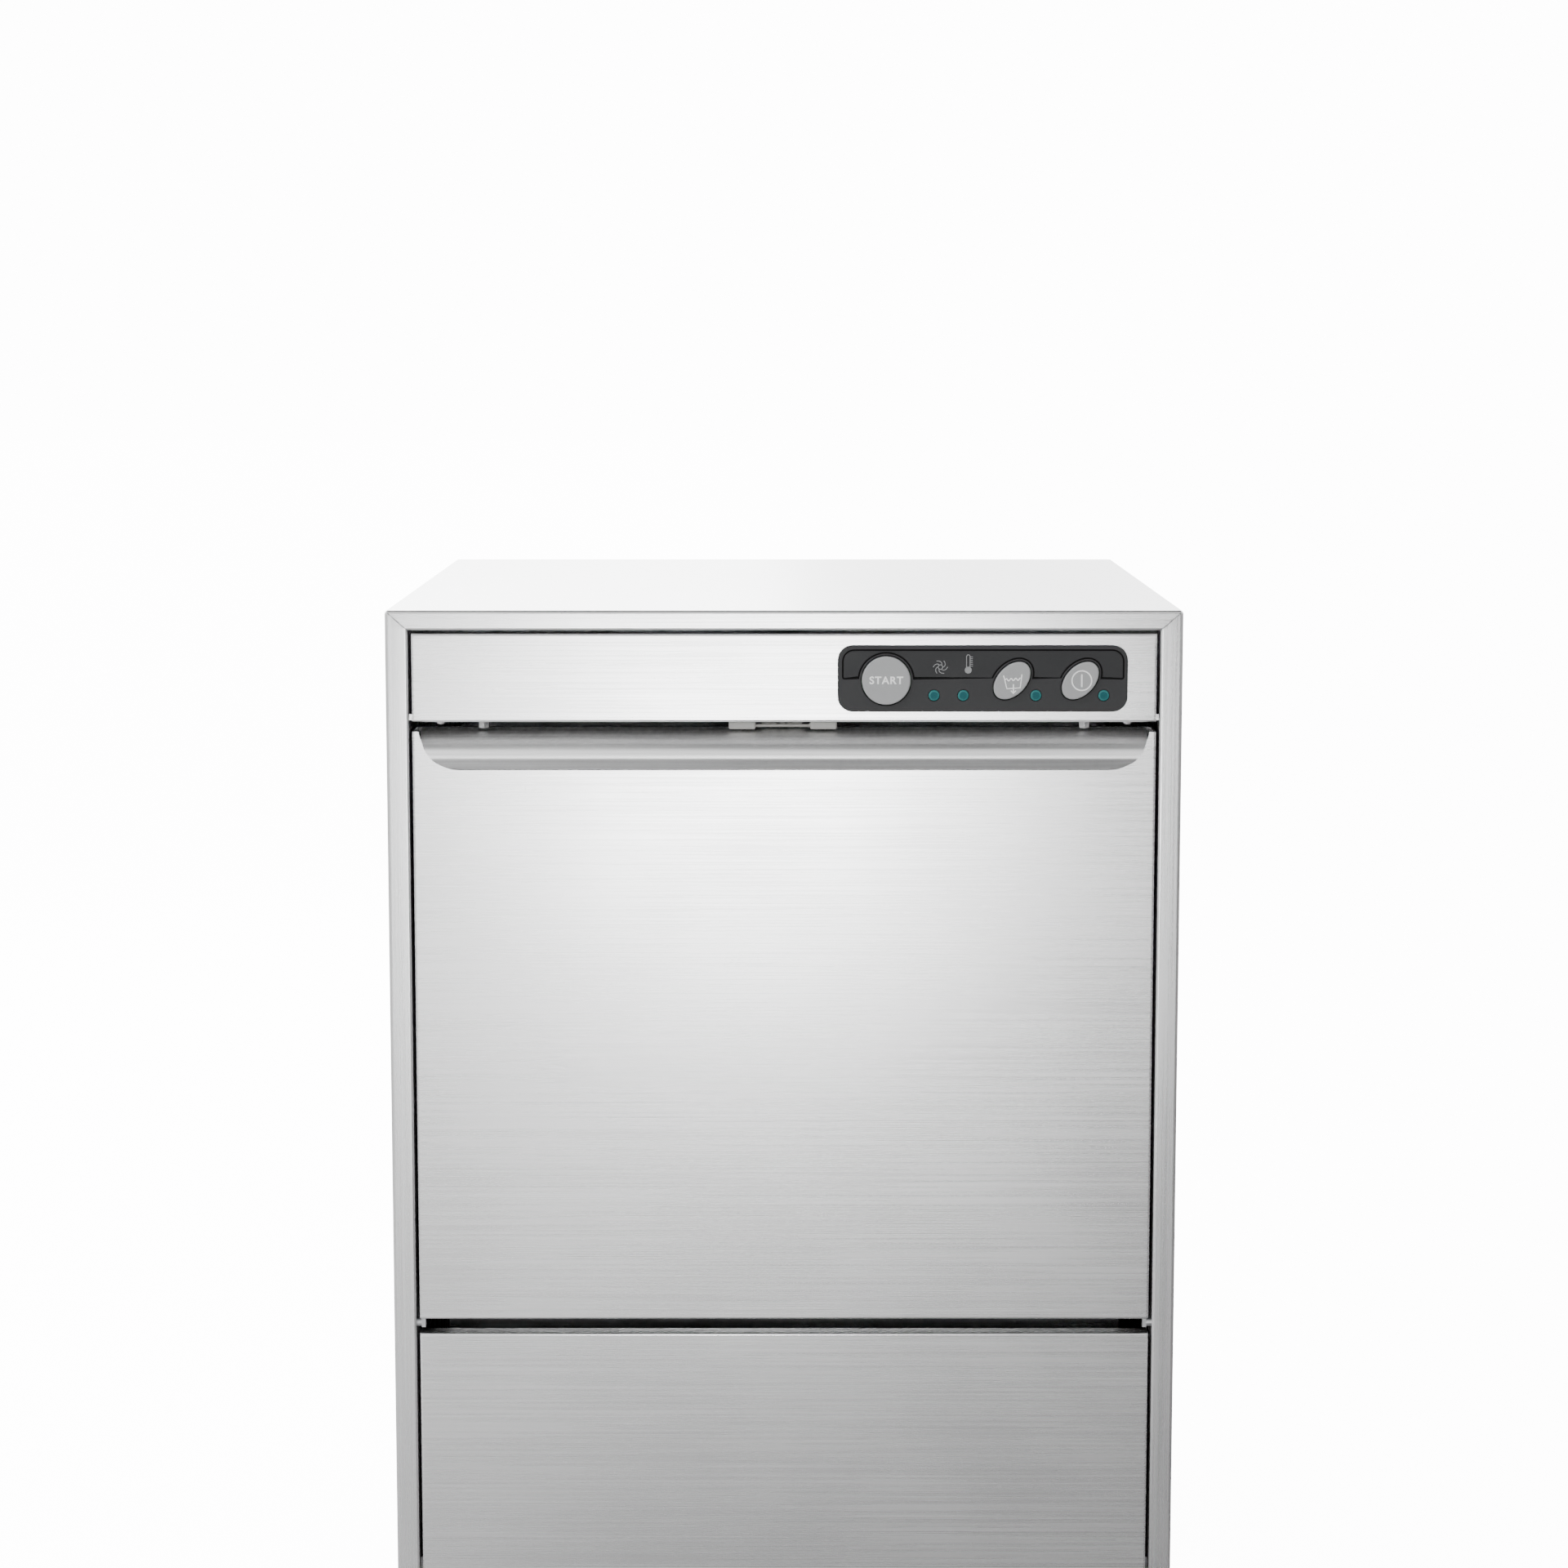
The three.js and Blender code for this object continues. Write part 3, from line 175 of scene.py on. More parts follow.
def noise(tree, place, scale, detail=2.0, roughness=0.5):
    made = node(tree, "ShaderNodeTexNoise", {"Scale": scale, "Detail": detail, "Roughness": roughness})
    wire(tree, place, made.inputs["Vector"])
    return made.outputs["Fac"]


def new_group(name, outputs, **inputs):
    """An empty shader node group that takes a vector and some numbers and puts out numbers."""
    group = bpy.data.node_groups.new(name, "ShaderNodeTree")
    group.interface.new_socket("Vector", in_out="INPUT", socket_type="NodeSocketVector")
    for key, default in inputs.items():
        socket = group.interface.new_socket(key, in_out="INPUT", socket_type="NodeSocketFloat")
        socket.default_value = default
    for key in outputs:
        group.interface.new_socket(key, in_out="OUTPUT", socket_type="NodeSocketFloat")
    return group, node(group, "NodeGroupInput"), node(group, "NodeGroupOutput")


def brushed_group():
    """Grain of a brushed sheet: long fine scratches along one axis, and soft clouds over them."""
    group, start, end = new_group("brushed_grain", ("Grain", "Cloud"), Along=26.0, Across=1500.0)
    stretch = node(group, "ShaderNodeCombineXYZ")
    for socket, way in zip(stretch.inputs, ("Along", "Across", "Across")):
        wire(group, start.outputs[way], socket)
    scaled = node(group, "ShaderNodeVectorMath", operation="MULTIPLY")
    wire(group, start.outputs["Vector"], scaled.inputs[0])
    wire(group, stretch.outputs[0], scaled.inputs[1])
    longer = node(group, "ShaderNodeVectorMath", {1: (0.3, 0.45, 0.45)}, operation="MULTIPLY")
    wire(group, scaled.outputs[0], longer.inputs[0])
    blend = node(group, "ShaderNodeMix", {0: 0.4}, data_type="FLOAT")
    wire(group, noise(group, scaled.outputs[0], 1.0, 3.0, 0.6), blend.inputs[2])
    wire(group, noise(group, longer.outputs[0], 1.0, 1.0), blend.inputs[3])
    wire(group, blend.outputs[0], end.inputs["Grain"])
    wire(group, noise(group, start.outputs["Vector"], 7.0), end.inputs["Cloud"])
    return group


grain_group = brushed_group()


def bare_material(name, metal=0.0, gloss=0.5):
    """A new material, with its node tree, its shader and the Object coordinates."""
    made = bpy.data.materials.new(name)
    made.use_nodes = True
    tree = made.node_tree
    shader = tree.nodes["Principled BSDF"]
    shader.inputs["Metallic"].default_value = metal
    shader.inputs["Specular IOR Level"].default_value = gloss
    return made, tree, shader, node(tree, "ShaderNodeTexCoord").outputs["Object"]


def paint(tree, shader, dark, light, mask):
    """Colours the surface between two tones by a mask from 0 to 1."""
    tone = node(tree, "ShaderNodeMix", {6: (*dark, 1), 7: (*light, 1)}, data_type="RGBA")
    wire(tree, mask, tone.inputs[0])
    wire(tree, tone.outputs[2], shader.inputs["Base Color"])


def relief(tree, shader, height, strength, depth):
    bump = node(tree, "ShaderNodeBump", {"Strength": strength, "Distance": depth})
    wire(tree, height, bump.inputs["Height"])
    wire(tree, bump.outputs["Normal"], shader.inputs["Normal"])


def brushed_steel(name, colour, rough, turn=(0, 0, 0), along=7.0, across=1500.0, contrast=0.04, depth=0.05):
    """Stainless sheet whose grain runs along X, or along the axis that turn brings to X."""
    made, tree, shader, place = bare_material(name, metal=1.0)
    mapping = node(tree, "ShaderNodeMapping", {"Rotation": turn})
    wire(tree, place, mapping.inputs["Vector"])
    grain = node(tree, "ShaderNodeGroup", node_tree=grain_group)
    grain.inputs["Along"].default_value = along
    grain.inputs["Across"].default_value = across
    wire(tree, mapping.outputs[0], grain.inputs["Vector"])
    lines, clouds = grain.outputs["Grain"], grain.outputs["Cloud"]
    paint(tree, shader, [c * (1 - contrast) for c in colour], [min(c * (1 + contrast), 1) for c in colour],
          spread(tree, lines, 0.25, 0.75, 0, 1))
    wire(tree, sum_of(tree, spread(tree, lines, 0.25, 0.75, rough - 0.03, rough + 0.04),
                      spread(tree, clouds, 0.3, 0.7, -0.012, 0.012)), shader.inputs["Roughness"])
    relief(tree, shader, lines, depth, 0.0002)
    return made


STEEL = (0.84, 0.84, 0.845)
sheet_across = brushed_steel("brushed_sheet_across", STEEL, 0.27)
sheet_upright = brushed_steel("brushed_sheet_upright", STEEL, 0.27, turn=(0, math.radians(90), 0), depth=0.02)


def make_piece(name, mesh, material, body, slot, *stands_for, sharp=35):
    """Turns a bmesh into a finished piece that rides on a body and stands for CAD nodes."""
    for edge in mesh.edges:
        if len(edge.link_faces) == 2:
            edge.smooth = edge.calc_face_angle(0) < math.radians(sharp)
    for face in mesh.faces:
        face.smooth = True
    data = bpy.data.meshes.new(name)
    mesh.to_mesh(data)
    mesh.free()
    piece = bpy.data.objects.new(name, data)
    bpy.context.scene.collection.objects.link(piece)
    data.materials.append(material)
    weighted = piece.modifiers.new("flat_faces", "WEIGHTED_NORMAL")
    weighted.keep_sharp = True
    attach(piece, body)
    if stands_for:
        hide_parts(*stands_for)
    return piece


def box_mesh(low, high):
    """A bmesh box between two corners."""
    mesh = bmesh.new()
    low, high = Vector(low), Vector(high)
    size = high - low
    place = Matrix.Translation((low + high) / 2) @ Matrix.Diagonal((*size, 1))
    bmesh.ops.create_cube(mesh, size=1, matrix=place)
    return mesh


def bevel_edges(mesh, chosen, width, segments=4):
    bmesh.ops.bevel(mesh, geom=chosen, affect="EDGES", offset=width, segments=segments, profile=0.5,
                    material=-1, offset_type="OFFSET", clamp_overlap=True)


def edges_where(mesh, test):
    return [edge for edge in mesh.edges if test(*[vert.co for vert in edge.verts])]


def faces_where(mesh, test):
    return [face for face in mesh.faces if test(face.calc_center_median(), face.normal)]


def slice_mesh(mesh, point, normal, keep=None):
    """Cuts across the mesh; keep="below" drops what lies on the normal's side, "above" the rest."""
    bmesh.ops.bisect_plane(mesh, geom=[*mesh.verts, *mesh.edges, *mesh.faces], plane_co=point,
                           plane_no=normal, clear_outer=keep == "below", clear_inner=keep == "above",
                           dist=1e-7)


def near(a, b, reach=1e-6):
    return abs(a - b) < reach


top_low, top_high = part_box("top_panel")
side_low, side_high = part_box("left_side_panel")
strip_x = side_high.x
strip_z = top_low.z
RETURN = 14 * MM
OUTER_BEND = 2.6 * MM
INNER_BEND = 2.2 * MM


def on_front_opening(a, b):
    """Whether an edge in a front or rear plane lies along the sides or the top of the opening."""
    upright = near(abs(a.x), -strip_x) and near(a.x, b.x) and max(a.z, b.z) <= strip_z + 1e-6
    level = near(a.z, strip_z) and near(b.z, strip_z) and max(abs(a.x), abs(b.x)) <= -strip_x + 1e-6
    return upright or level


def folded_shell():
    """The cabinet's outer sheet as one open box with a folded lip round its front and rear openings."""
    mesh = box_mesh((top_low.x, front, side_low.z), (top_high.x, top_high.y, top_high.z))
    for x in (strip_x, -strip_x):
        slice_mesh(mesh, (x, 0, 0), (1, 0, 0))
    slice_mesh(mesh, (0, 0, strip_z), (0, 0, 1))
    inside = faces_where(mesh, lambda c, n: abs(c.x) < -strip_x and c.z < strip_z and abs(n.y) > 0.5)
    under = faces_where(mesh, lambda c, n: n.z < -0.5)
    bmesh.ops.delete(mesh, geom=[*inside, *under], context="FACES")
    for y, inward in ((front, 1), (top_high.y, -1)):
        rim = edges_where(mesh, lambda a, b: near(a.y, y) and near(b.y, y) and on_front_opening(a, b))
        folded = bmesh.ops.extrude_edge_only(mesh, edges=rim)
        bmesh.ops.translate(mesh, verts=[v for v in folded["geom"] if isinstance(v, bmesh.types.BMVert)],
                            vec=(0, inward * RETURN, 0))
    bmesh.ops.recalc_face_normals(mesh, faces=mesh.faces)
    outer = edges_where(mesh, lambda a, b: (
        (near(abs(a.x), top_high.x) and near(abs(b.x), top_high.x) and near(a.y, b.y))
        or (near(a.z, top_high.z) and near(b.z, top_high.z)
            and (near(abs(a.x), top_high.x) and near(a.x, b.x) or near(a.y, b.y)))))
    bevel_edges(mesh, outer, OUTER_BEND, 6)
    inner = edges_where(mesh, lambda a, b: near(a.y, b.y) and (near(a.y, front) or near(a.y, top_high.y))
                        and on_front_opening(a, b))
    bevel_edges(mesh, inner, INNER_BEND, 5)
    return mesh


SEAM = 0.28 * MM
mitre = Vector((strip_x - top_low.x, 0, strip_z - top_high.z)).normalized()
mitre_out = Vector((mitre.z, 0, -mitre.x))
corner = Vector((top_low.x, 0, top_high.z))


def thicken(mesh):
    """Turns a folded surface into sheet of the cabinet's thickness."""
    bmesh.ops.remove_doubles(mesh, verts=mesh.verts, dist=1e-6)
    bmesh.ops.recalc_face_normals(mesh, faces=mesh.faces)
    bmesh.ops.solidify(mesh, geom=[*mesh.faces], thickness=SHEET)


def mitre_line(side):
    """The upper front corner on one side, and the way its mitred seam faces."""
    return Vector((corner.x * -side, 0, corner.z)), Vector((mitre_out.x * -side, 0, mitre_out.z))


def shell_side(side):
    mesh = folded_shell()
    tip, out = mitre_line(side)
    slice_mesh(mesh, tip + out * SEAM, out, keep="above")
    slice_mesh(mesh, (0, 0, 0), (side, 0, 0), keep="above")
    thicken(mesh)
    return mesh


def shell_top():
    mesh = folded_shell()
    for side in (-1, 1):
        tip, out = mitre_line(side)
        slice_mesh(mesh, tip - out * SEAM, out, keep="below")
    thicken(mesh)
    return mesh


make_piece("top_cover", shell_top(), sheet_across, "cabinet", "steel_panel", "top_panel")
make_piece("side_cover_left", shell_side(-1), sheet_upright, "cabinet", "steel_panel", "left_side_panel")
make_piece("side_cover_right", shell_side(1), sheet_upright, "cabinet", "steel_panel", "right_side_panel")


# ---- Front lower panel ----
# The service cover under the door: a shallow stainless pan with folded edges, pushed in behind the
# side panels' front strips.


def pan_mesh(low, high, depth, bend=1.8 * MM):
    """A folded sheet pan that faces -Y: a front wall and four short walls behind it."""
    mesh = box_mesh(low, (high[0], low[1] + depth, high[2]))
    bmesh.ops.delete(mesh, geom=faces_where(mesh, lambda c, n: n.y > 0.5), context="FACES")
    bevel_edges(mesh, edges_where(mesh, lambda a, b: near(a.y, low[1]) and near(b.y, low[1])), bend, 5)
    thicken(mesh)
    return mesh


low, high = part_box("front_lower_panel")
make_piece("lower_cover", pan_mesh(low, high, high.y - low.y), sheet_across, "cabinet", "steel_panel",
           "front_lower_panel")

# ---- Control fascia ----
# The stainless strip over the door, folded on all four sides, with a bright tab at each lower
# corner where it hooks behind the side strip, and a window behind the control insert.
fascia_low, fascia_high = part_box("control_fascia")
insert_low, insert_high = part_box("control_insert")
WINDOW_RIM = 3 * MM
fascia_x = strip_x + 2.2 * MM
mesh = pan_mesh((fascia_x, front, fascia_low.z), (-fascia_x, 0, fascia_high.z), RETURN)
window = (insert_low.x + WINDOW_RIM, insert_high.x - WINDOW_RIM, insert_low.z + WINDOW_RIM,
          insert_high.z - WINDOW_RIM)
for x in window[:2]:
    slice_mesh(mesh, (x, 0, 0), (1, 0, 0))
for z in window[2:]:
    slice_mesh(mesh, (0, 0, z), (0, 0, 1))
opening = faces_where(mesh, lambda c, n: window[0] < c.x < window[1] and window[2] < c.z < window[3]
                      and c.y < front + 2 * SHEET)
bmesh.ops.delete(mesh, geom=opening, context="FACES")
rims = [edge for edge in mesh.edges if len(edge.link_faces) == 1]
bmesh.ops.bridge_loops(mesh, edges=rims)
for side in (-1, 1):
    tab = box_mesh((-1, front + 0.4 * MM, fascia_low.z + 1.5 * MM),
                   (1, front + SHEET, fascia_low.z + 6 * MM))
    for vert in tab.verts:
        vert.co.x = side * ((-strip_x - 0.3 * MM) if vert.co.x > 0 else (-fascia_x - 1 * MM))
    if side < 0:
        bmesh.ops.reverse_faces(tab, faces=tab.faces)
    part = bpy.data.meshes.new("tab")
    tab.to_mesh(part)
    tab.free()
    mesh.from_mesh(part)
make_piece("fascia", mesh, sheet_across, "cabinet", "steel_panel", "control_fascia")

# ---- Control insert ----
# A moulded dark plastic plate on the fascia. A fine groove draws a field that arches over the
# three buttons, with a slightly lighter border below it for the lamps.
start_low, start_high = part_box("start_button")
oval_boxes = [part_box("drain_button"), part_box("power_button")]
lamp_names = ("wash_light", "rinse_light", "drain_light", "power_light")
lamp_spots = []
for lamp_name in lamp_names:
    lamp_low, lamp_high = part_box(lamp_name)
    lamp_spots.append(((lamp_low + lamp_high) / 2, (lamp_high.x - lamp_low.x) / 2))
start_centre = (start_low + start_high) / 2
start_radius = (start_high.x - start_low.x) / 2
oval_centres = [(a + b) / 2 for a, b in oval_boxes]
OVAL_LONG, OVAL_SHORT, OVAL_TILT = 16.5 * MM, 10.8 * MM, math.radians(47)
insert_front = insert_low.y


def ring_points(centre, long, short, tilt=0.0, count=72):
    """Points of a circle or a tilted oval, in x and z."""
    turn = Matrix.Rotation(tilt, 2)
    return [Vector((centre.x, centre.z)) + turn @ Vector((long * math.cos(t), short * math.sin(t)))
            for t in (2 * math.pi * (i + 0.37) / count for i in range(count))]


def round_corner(x, z, radius, start, steps=8):
    """A quarter turn about the centre (x, z) that begins at the angle start, in degrees."""
    angles = [math.radians(start + 90 * i / steps) for i in range(steps + 1)]
    return [Vector((x + radius * math.cos(a), z + radius * math.sin(a))) for a in angles]


def rounded_outline(x0, x1, z0, z1, radius):
    spots = []
    for x, z, start in ((x1 - radius, z0 + radius, 270), (x1 - radius, z1 - radius, 0),
                        (x0 + radius, z1 - radius, 90), (x0 + radius, z0 + radius, 180)):
        spots += round_corner(x, z, radius, start)
    return spots


def plate_data(loops, y0, y1, soften):
    """A flat plate between two depths, from an outline and its holes, with softened edges."""
    curve = bpy.data.curves.new("plate", "CURVE")
    curve.dimensions = "2D"
    curve.fill_mode = "BOTH"
    curve.extrude = (y1 - y0) / 2 - soften
    curve.bevel_depth = soften
    curve.bevel_resolution = 2
    curve.offset = -soften
    for loop in loops:
        spline = curve.splines.new("POLY")
        spline.points.add(len(loop) - 1)
        for point, spot in zip(spline.points, loop):
            point.co = (spot.x, spot.y, 0, 1)
        spline.use_cyclic_u = True
    holder = bpy.data.objects.new("plate", curve)
    data = bpy.data.meshes.new_from_object(holder)
    bpy.data.objects.remove(holder)
    data.transform(Matrix.Translation((0, (y0 + y1) / 2, 0)) @ Matrix.Rotation(math.radians(90), 4, "X"))
    return data


def plates_mesh(*plates):
    """One bmesh from plates given as (loops, y0, y1, soften) or (loops, y0, y1, soften, slot)."""
    mesh = bmesh.new()
    for plate in plates:
        before = len(mesh.faces)
        data = plate_data(*plate[:4])
        mesh.from_mesh(data)
        mesh.faces.ensure_lookup_table()
        for face in mesh.faces[before:]:
            face.material_index = plate[4] if len(plate) > 4 else 0
    bmesh.ops.remove_doubles(mesh, verts=mesh.verts, dist=2e-6)
    return mesh


def plastic_group():
    """Moulded plastic: a fine pebble, and soft clouds of handling wear and dust."""
    group, start, end = new_group("moulded_skin", ("Fine", "Soft"), Pebble=2600.0, Clouds=30.0)
    for scale, output, detail in (("Pebble", "Fine", 2.0), ("Clouds", "Soft", 5.0)):
        pattern = node(group, "ShaderNodeTexNoise", {"Detail": detail})
        wire(group, start.outputs["Vector"], pattern.inputs["Vector"])
        wire(group, start.outputs[scale], pattern.inputs["Scale"])
        wire(group, pattern.outputs["Fac"], end.inputs[output])
    return group


skin_group = plastic_group()


def moulded(name, colour, rough, contrast=0.08, pebble=2600.0, depth=0.08, metal=0.0, clouds=30.0, gloss=0.5):
    """A moulded or cast surface of one colour with a pebbled skin and uneven gloss."""
    made, tree, shader, place = bare_material(name, metal, gloss)
    skin = node(tree, "ShaderNodeGroup", node_tree=skin_group)
    skin.inputs["Pebble"].default_value = pebble
    skin.inputs["Clouds"].default_value = clouds
    wire(tree, place, skin.inputs["Vector"])
    soft, fine = skin.outputs["Soft"], skin.outputs["Fine"]
    paint(tree, shader, [c * (1 - contrast) for c in colour], [min(c * (1 + contrast), 1) for c in colour],
          spread(tree, soft, 0.3, 0.7, 0, 1))
    wire(tree, sum_of(tree, spread(tree, soft, 0.3, 0.7, rough - 0.04, rough + 0.04),
                      spread(tree, fine, 0.3, 0.7, -0.02, 0.02)), shader.inputs["Roughness"])
    relief(tree, shader, fine, depth, 0.0003)
    return made


GROOVE = 1.1 * MM
COLLAR = 2.6 * MM
FIELD_LEFT, FIELD_RIGHT = insert_low.x + 3.9 * MM, insert_high.x - 3.2 * MM
FIELD_TOP, FIELD_LINE = insert_high.z - 3.6 * MM, start_centre.z + 1.2 * MM


def field_outline(grow):
    """The upper field: a rounded bar whose lower edge arches over each button."""
    line = FIELD_LINE - grow
    lower_edge = []
    arches = [ring_points(start_centre, *[start_radius + COLLAR - grow] * 2)]
    arches += [ring_points(c, OVAL_LONG + COLLAR - grow, OVAL_SHORT + COLLAR - grow, OVAL_TILT)
               for c in oval_centres]
    for arch, centre in zip(arches, (start_centre, *oval_centres)):
        above = [p for p in arch if p.y > line]
        above.sort(key=lambda p: -math.atan2(p.y - line + 1e-5, p.x - centre.x))
        lower_edge += above
    small = 1.5 * MM + grow
    big = 8.6 * MM + grow
    x0, x1, z1 = FIELD_LEFT - grow, FIELD_RIGHT + grow, FIELD_TOP + grow
    return [*round_corner(x0 + small, line + small, small, 180), *lower_edge,
            *round_corner(x1 - small, line + small, small, 270), *round_corner(x1 - big, z1 - big, big, 0),
            *round_corner(x0 + big, z1 - big, big, 90)]


BUTTON_GAP = 0.8 * MM
button_holes = [ring_points(start_centre, *[start_radius + BUTTON_GAP] * 2)]
button_holes += [ring_points(c, OVAL_LONG + BUTTON_GAP, OVAL_SHORT + BUTTON_GAP, OVAL_TILT)
                 for c in oval_centres]
LAMP_GAP = 0.3 * MM
lamp_holes = [ring_points(spot, size + LAMP_GAP, size + LAMP_GAP, count=32) for spot, size in lamp_spots]
outline = rounded_outline(insert_low.x, insert_high.x, insert_low.z, insert_high.z, 11.4 * MM)
GROOVE_DEPTH = 0.7 * MM
groove_floor = insert_front + GROOVE_DEPTH
EDGE = 0.28 * MM
border_plastic = moulded("dark_border", (0.026, 0.0265, 0.028), 0.5, depth=0.05, gloss=0.3)
field_plastic = moulded("dark_field", (0.017, 0.0175, 0.019), 0.46, depth=0.05, gloss=0.3)
# Painted shade: the plate under the groove, seen only through it, is coloured near black and dull, far darker
# than the plastic round it, to stand for the shade down in the groove.
groove_painted_shade = moulded("painted_shade_groove", (0.003, 0.003, 0.003), 0.6, gloss=0.1)
mesh = plates_mesh(
    ([outline, *button_holes, *lamp_holes], groove_floor, front - 0.05 * MM, 0.05 * MM, 2),
    ([outline, field_outline(GROOVE / 2), *button_holes, *lamp_holes], insert_front, groove_floor, EDGE, 0),
    ([field_outline(-GROOVE / 2)], insert_front, groove_floor, EDGE, 1))
insert = make_piece("control_plate", mesh, border_plastic, "cabinet", "dark_plastic", "control_insert")
insert.data.materials.append(field_plastic)
insert.data.materials.append(groove_painted_shade)

# ---- Buttons ----
# Grey plastic keys: a round start key and two tilted ovals. Each has a rounded rim, stands proud of
# the insert and goes in 2 mm; its sign is printed in white.
key_plastic = moulded("grey_key", (0.33, 0.335, 0.34), 0.45, contrast=0.04, depth=0.05, gloss=0.35)
white_print = moulded("white_print", (0.95, 0.95, 0.94), 0.5, contrast=0.03, depth=0.02)
grey_print = moulded("grey_print", (0.24, 0.245, 0.25), 0.5, contrast=0.05, depth=0.02)
PRINT = 0.06 * MM


def stroke_data(paths, y, thick):
    """Printed lines: each path is (points, closed), drawn as a thin flattened cord on the depth y."""
    curve = bpy.data.curves.new("stroke", "CURVE")
    curve.dimensions = "3D"
    curve.bevel_depth = thick / 2
    curve.bevel_resolution = 1
    curve.use_fill_caps = True
    for points, closed in paths:
        spline = curve.splines.new("POLY")
        spline.points.add(len(points) - 1)
        for point, spot in zip(spline.points, points):
            point.co = (spot[0], 0, spot[1], 1)
        spline.use_cyclic_u = closed
    holder = bpy.data.objects.new("stroke", curve)
    data = bpy.data.meshes.new_from_object(holder)
    bpy.data.objects.remove(holder)
    data.transform(Matrix.Translation((0, y, 0)) @ Matrix.Diagonal((1, 2 * PRINT / thick, 1, 1)))
    return data


def round_bar(centre, long, short, tilt, y0, y1, soften, sides=72):
    """A round or oval bar along Y whose front rim is rounded and whose flat face has a ring inset 0.5 mm."""
    mesh = bmesh.new()
    place = Matrix.Translation((centre.x, (y0 + y1) / 2, centre.z)) @ Matrix.Rotation(-tilt, 4, "Y") \
        @ Matrix.Rotation(math.radians(90), 4, "X") @ Matrix.Diagonal((long, short, 1, 1))
    bmesh.ops.create_cone(mesh, cap_ends=True, segments=sides, radius1=1, radius2=1, depth=y1 - y0,
                          matrix=place)
    bevel_edges(mesh, edges_where(mesh, lambda a, b: near(a.y, y0) and near(b.y, y0)), soften, 5)
    flat = faces_where(mesh, lambda c, n: near(c.y, y0) and n.y < -0.5)
    face = max(flat, key=lambda f: f.calc_area())
    bmesh.ops.inset_individual(mesh, faces=[face], thickness=0.5 * MM)
    return mesh


def print_on(mesh, data, slot=1):
    """Adds a printed or cut detail to the mesh, closed and in a material of its own."""
    sign = bmesh.new()
    sign.from_mesh(data)
    bmesh.ops.remove_doubles(sign, verts=sign.verts, dist=1e-6)
    for face in sign.faces:
        face.material_index = slot
    sign.to_mesh(data)
    sign.free()
    mesh.from_mesh(data)


def at(centre, *spots):
    """Points in x and z from offsets in millimetres."""
    return [(centre.x + x * MM, centre.z + z * MM) for x, z in spots]


def arc_of(centre, x, z, radius, start, end, steps=24):
    turns = [math.radians(start + (end - start) * i / steps) for i in range(steps + 1)]
    return at(centre, *[(x + radius * math.cos(t), z + radius * math.sin(t)) for t in turns])


def add_key(name, centre, long, short, tilt, box, node_name, prints):
    mesh = round_bar(centre, long, short, tilt, box[0].y, box[1].y, 0.9 * MM)
    for data in prints:
        print_on(mesh, data)
    key = make_piece(name, mesh, key_plastic, node_name, "button_plastic", node_name)
    key.data.materials.append(white_print)


word = bpy.data.curves.new("start_word", "FONT")
word.body = "START"
word.size = 7.9 * MM
word.space_character = 1.14
word.align_x = "CENTER"
word.align_y = "CENTER"
word.offset = 0.22 * MM
word.extrude = PRINT / 2
holder = bpy.data.objects.new("start_word", word)
word_data = bpy.data.meshes.new_from_object(holder)
bpy.data.objects.remove(holder)
word_data.transform(Matrix.Translation((start_centre.x, start_low.y, start_centre.z))
                    @ Matrix.Rotation(math.radians(90), 4, "X"))
add_key("start_key", start_centre, start_radius, start_radius, 0, (start_low, start_high), "start_button",
        [word_data])

tank_centre, mains_centre = oval_centres
key_face = oval_boxes[0][0].y
tank_sign = [(at(tank_centre, (-6.5, 4.0), (-3.9, -6.0), (6.1, -5.3), (7.3, 4.8)), False),
             (at(tank_centre, *[(-5.2 + i * 0.5, 0.6 + 0.9 * math.sin(i * 0.9) + i * 0.03)
                                for i in range(24)]), False),
             (at(tank_centre, (1.0, -2.6), (1.0, -9.4)), False),
             (at(tank_centre, (-0.9, -7.4), (1.0, -9.6), (2.9, -7.4)), False)]
add_key("drain_key", tank_centre, OVAL_LONG, OVAL_SHORT, OVAL_TILT, oval_boxes[0], "drain_button",
        [stroke_data(tank_sign, key_face, 1.0 * MM)])
mains_sign = [(arc_of(mains_centre, 1.0, 0.1, 7.4, 0, 345), True),
              (at(mains_centre, (1.0, -4.7), (1.0, 4.9)), False)]
add_key("power_key", mains_centre, OVAL_LONG, OVAL_SHORT, OVAL_TILT, oval_boxes[1], "power_button",
        [stroke_data(mains_sign, key_face, 1.1 * MM)])

# ---- Signs on the insert ----
# Two small grey printed signs over the lamps: a turning spray arm, and a thermometer.
swirl_at = Vector((117.5 * MM, 0, 777.5 * MM))
heat_at = Vector((138.4 * MM, 0, 778.6 * MM))
swirl = [(arc_of(swirl_at, 0, 0, 1.7, 0, 345, 16), True)]
for arm in range(6):
    reach = [(2.0 + 3.4 * i / 8, math.radians(60 * arm + 62 * (i / 8) ** 1.5)) for i in range(9)]
    swirl.append((at(swirl_at, *[(r * math.cos(t), r * math.sin(t)) for r, t in reach]), False))
heat = [(at(heat_at, (-1.3, -1.6), (-1.3, 7.0), (-0.6, 8.1), (0.6, 8.1), (1.3, 7.0), (1.3, -1.6)), False)]
heat += [(at(heat_at, (1.6, z), (3.4, z)), False) for z in (6.6, 5.2, 3.8, 2.4, 1.0, -0.4)]
mesh = bmesh.new()
mesh.from_mesh(stroke_data([*swirl, *heat], insert_front, 0.6 * MM))
bulb = plate_data([ring_points(heat_at - Vector((0, 0, 3.4 * MM)), 2.6 * MM, 2.6 * MM, count=32)],
                  insert_front - PRINT, insert_front + PRINT, 0.02 * MM)
mesh.from_mesh(bulb)
bmesh.ops.remove_doubles(mesh, verts=mesh.verts, dist=1e-6)
make_piece("panel_signs", mesh, grey_print, "cabinet", "dark_plastic")
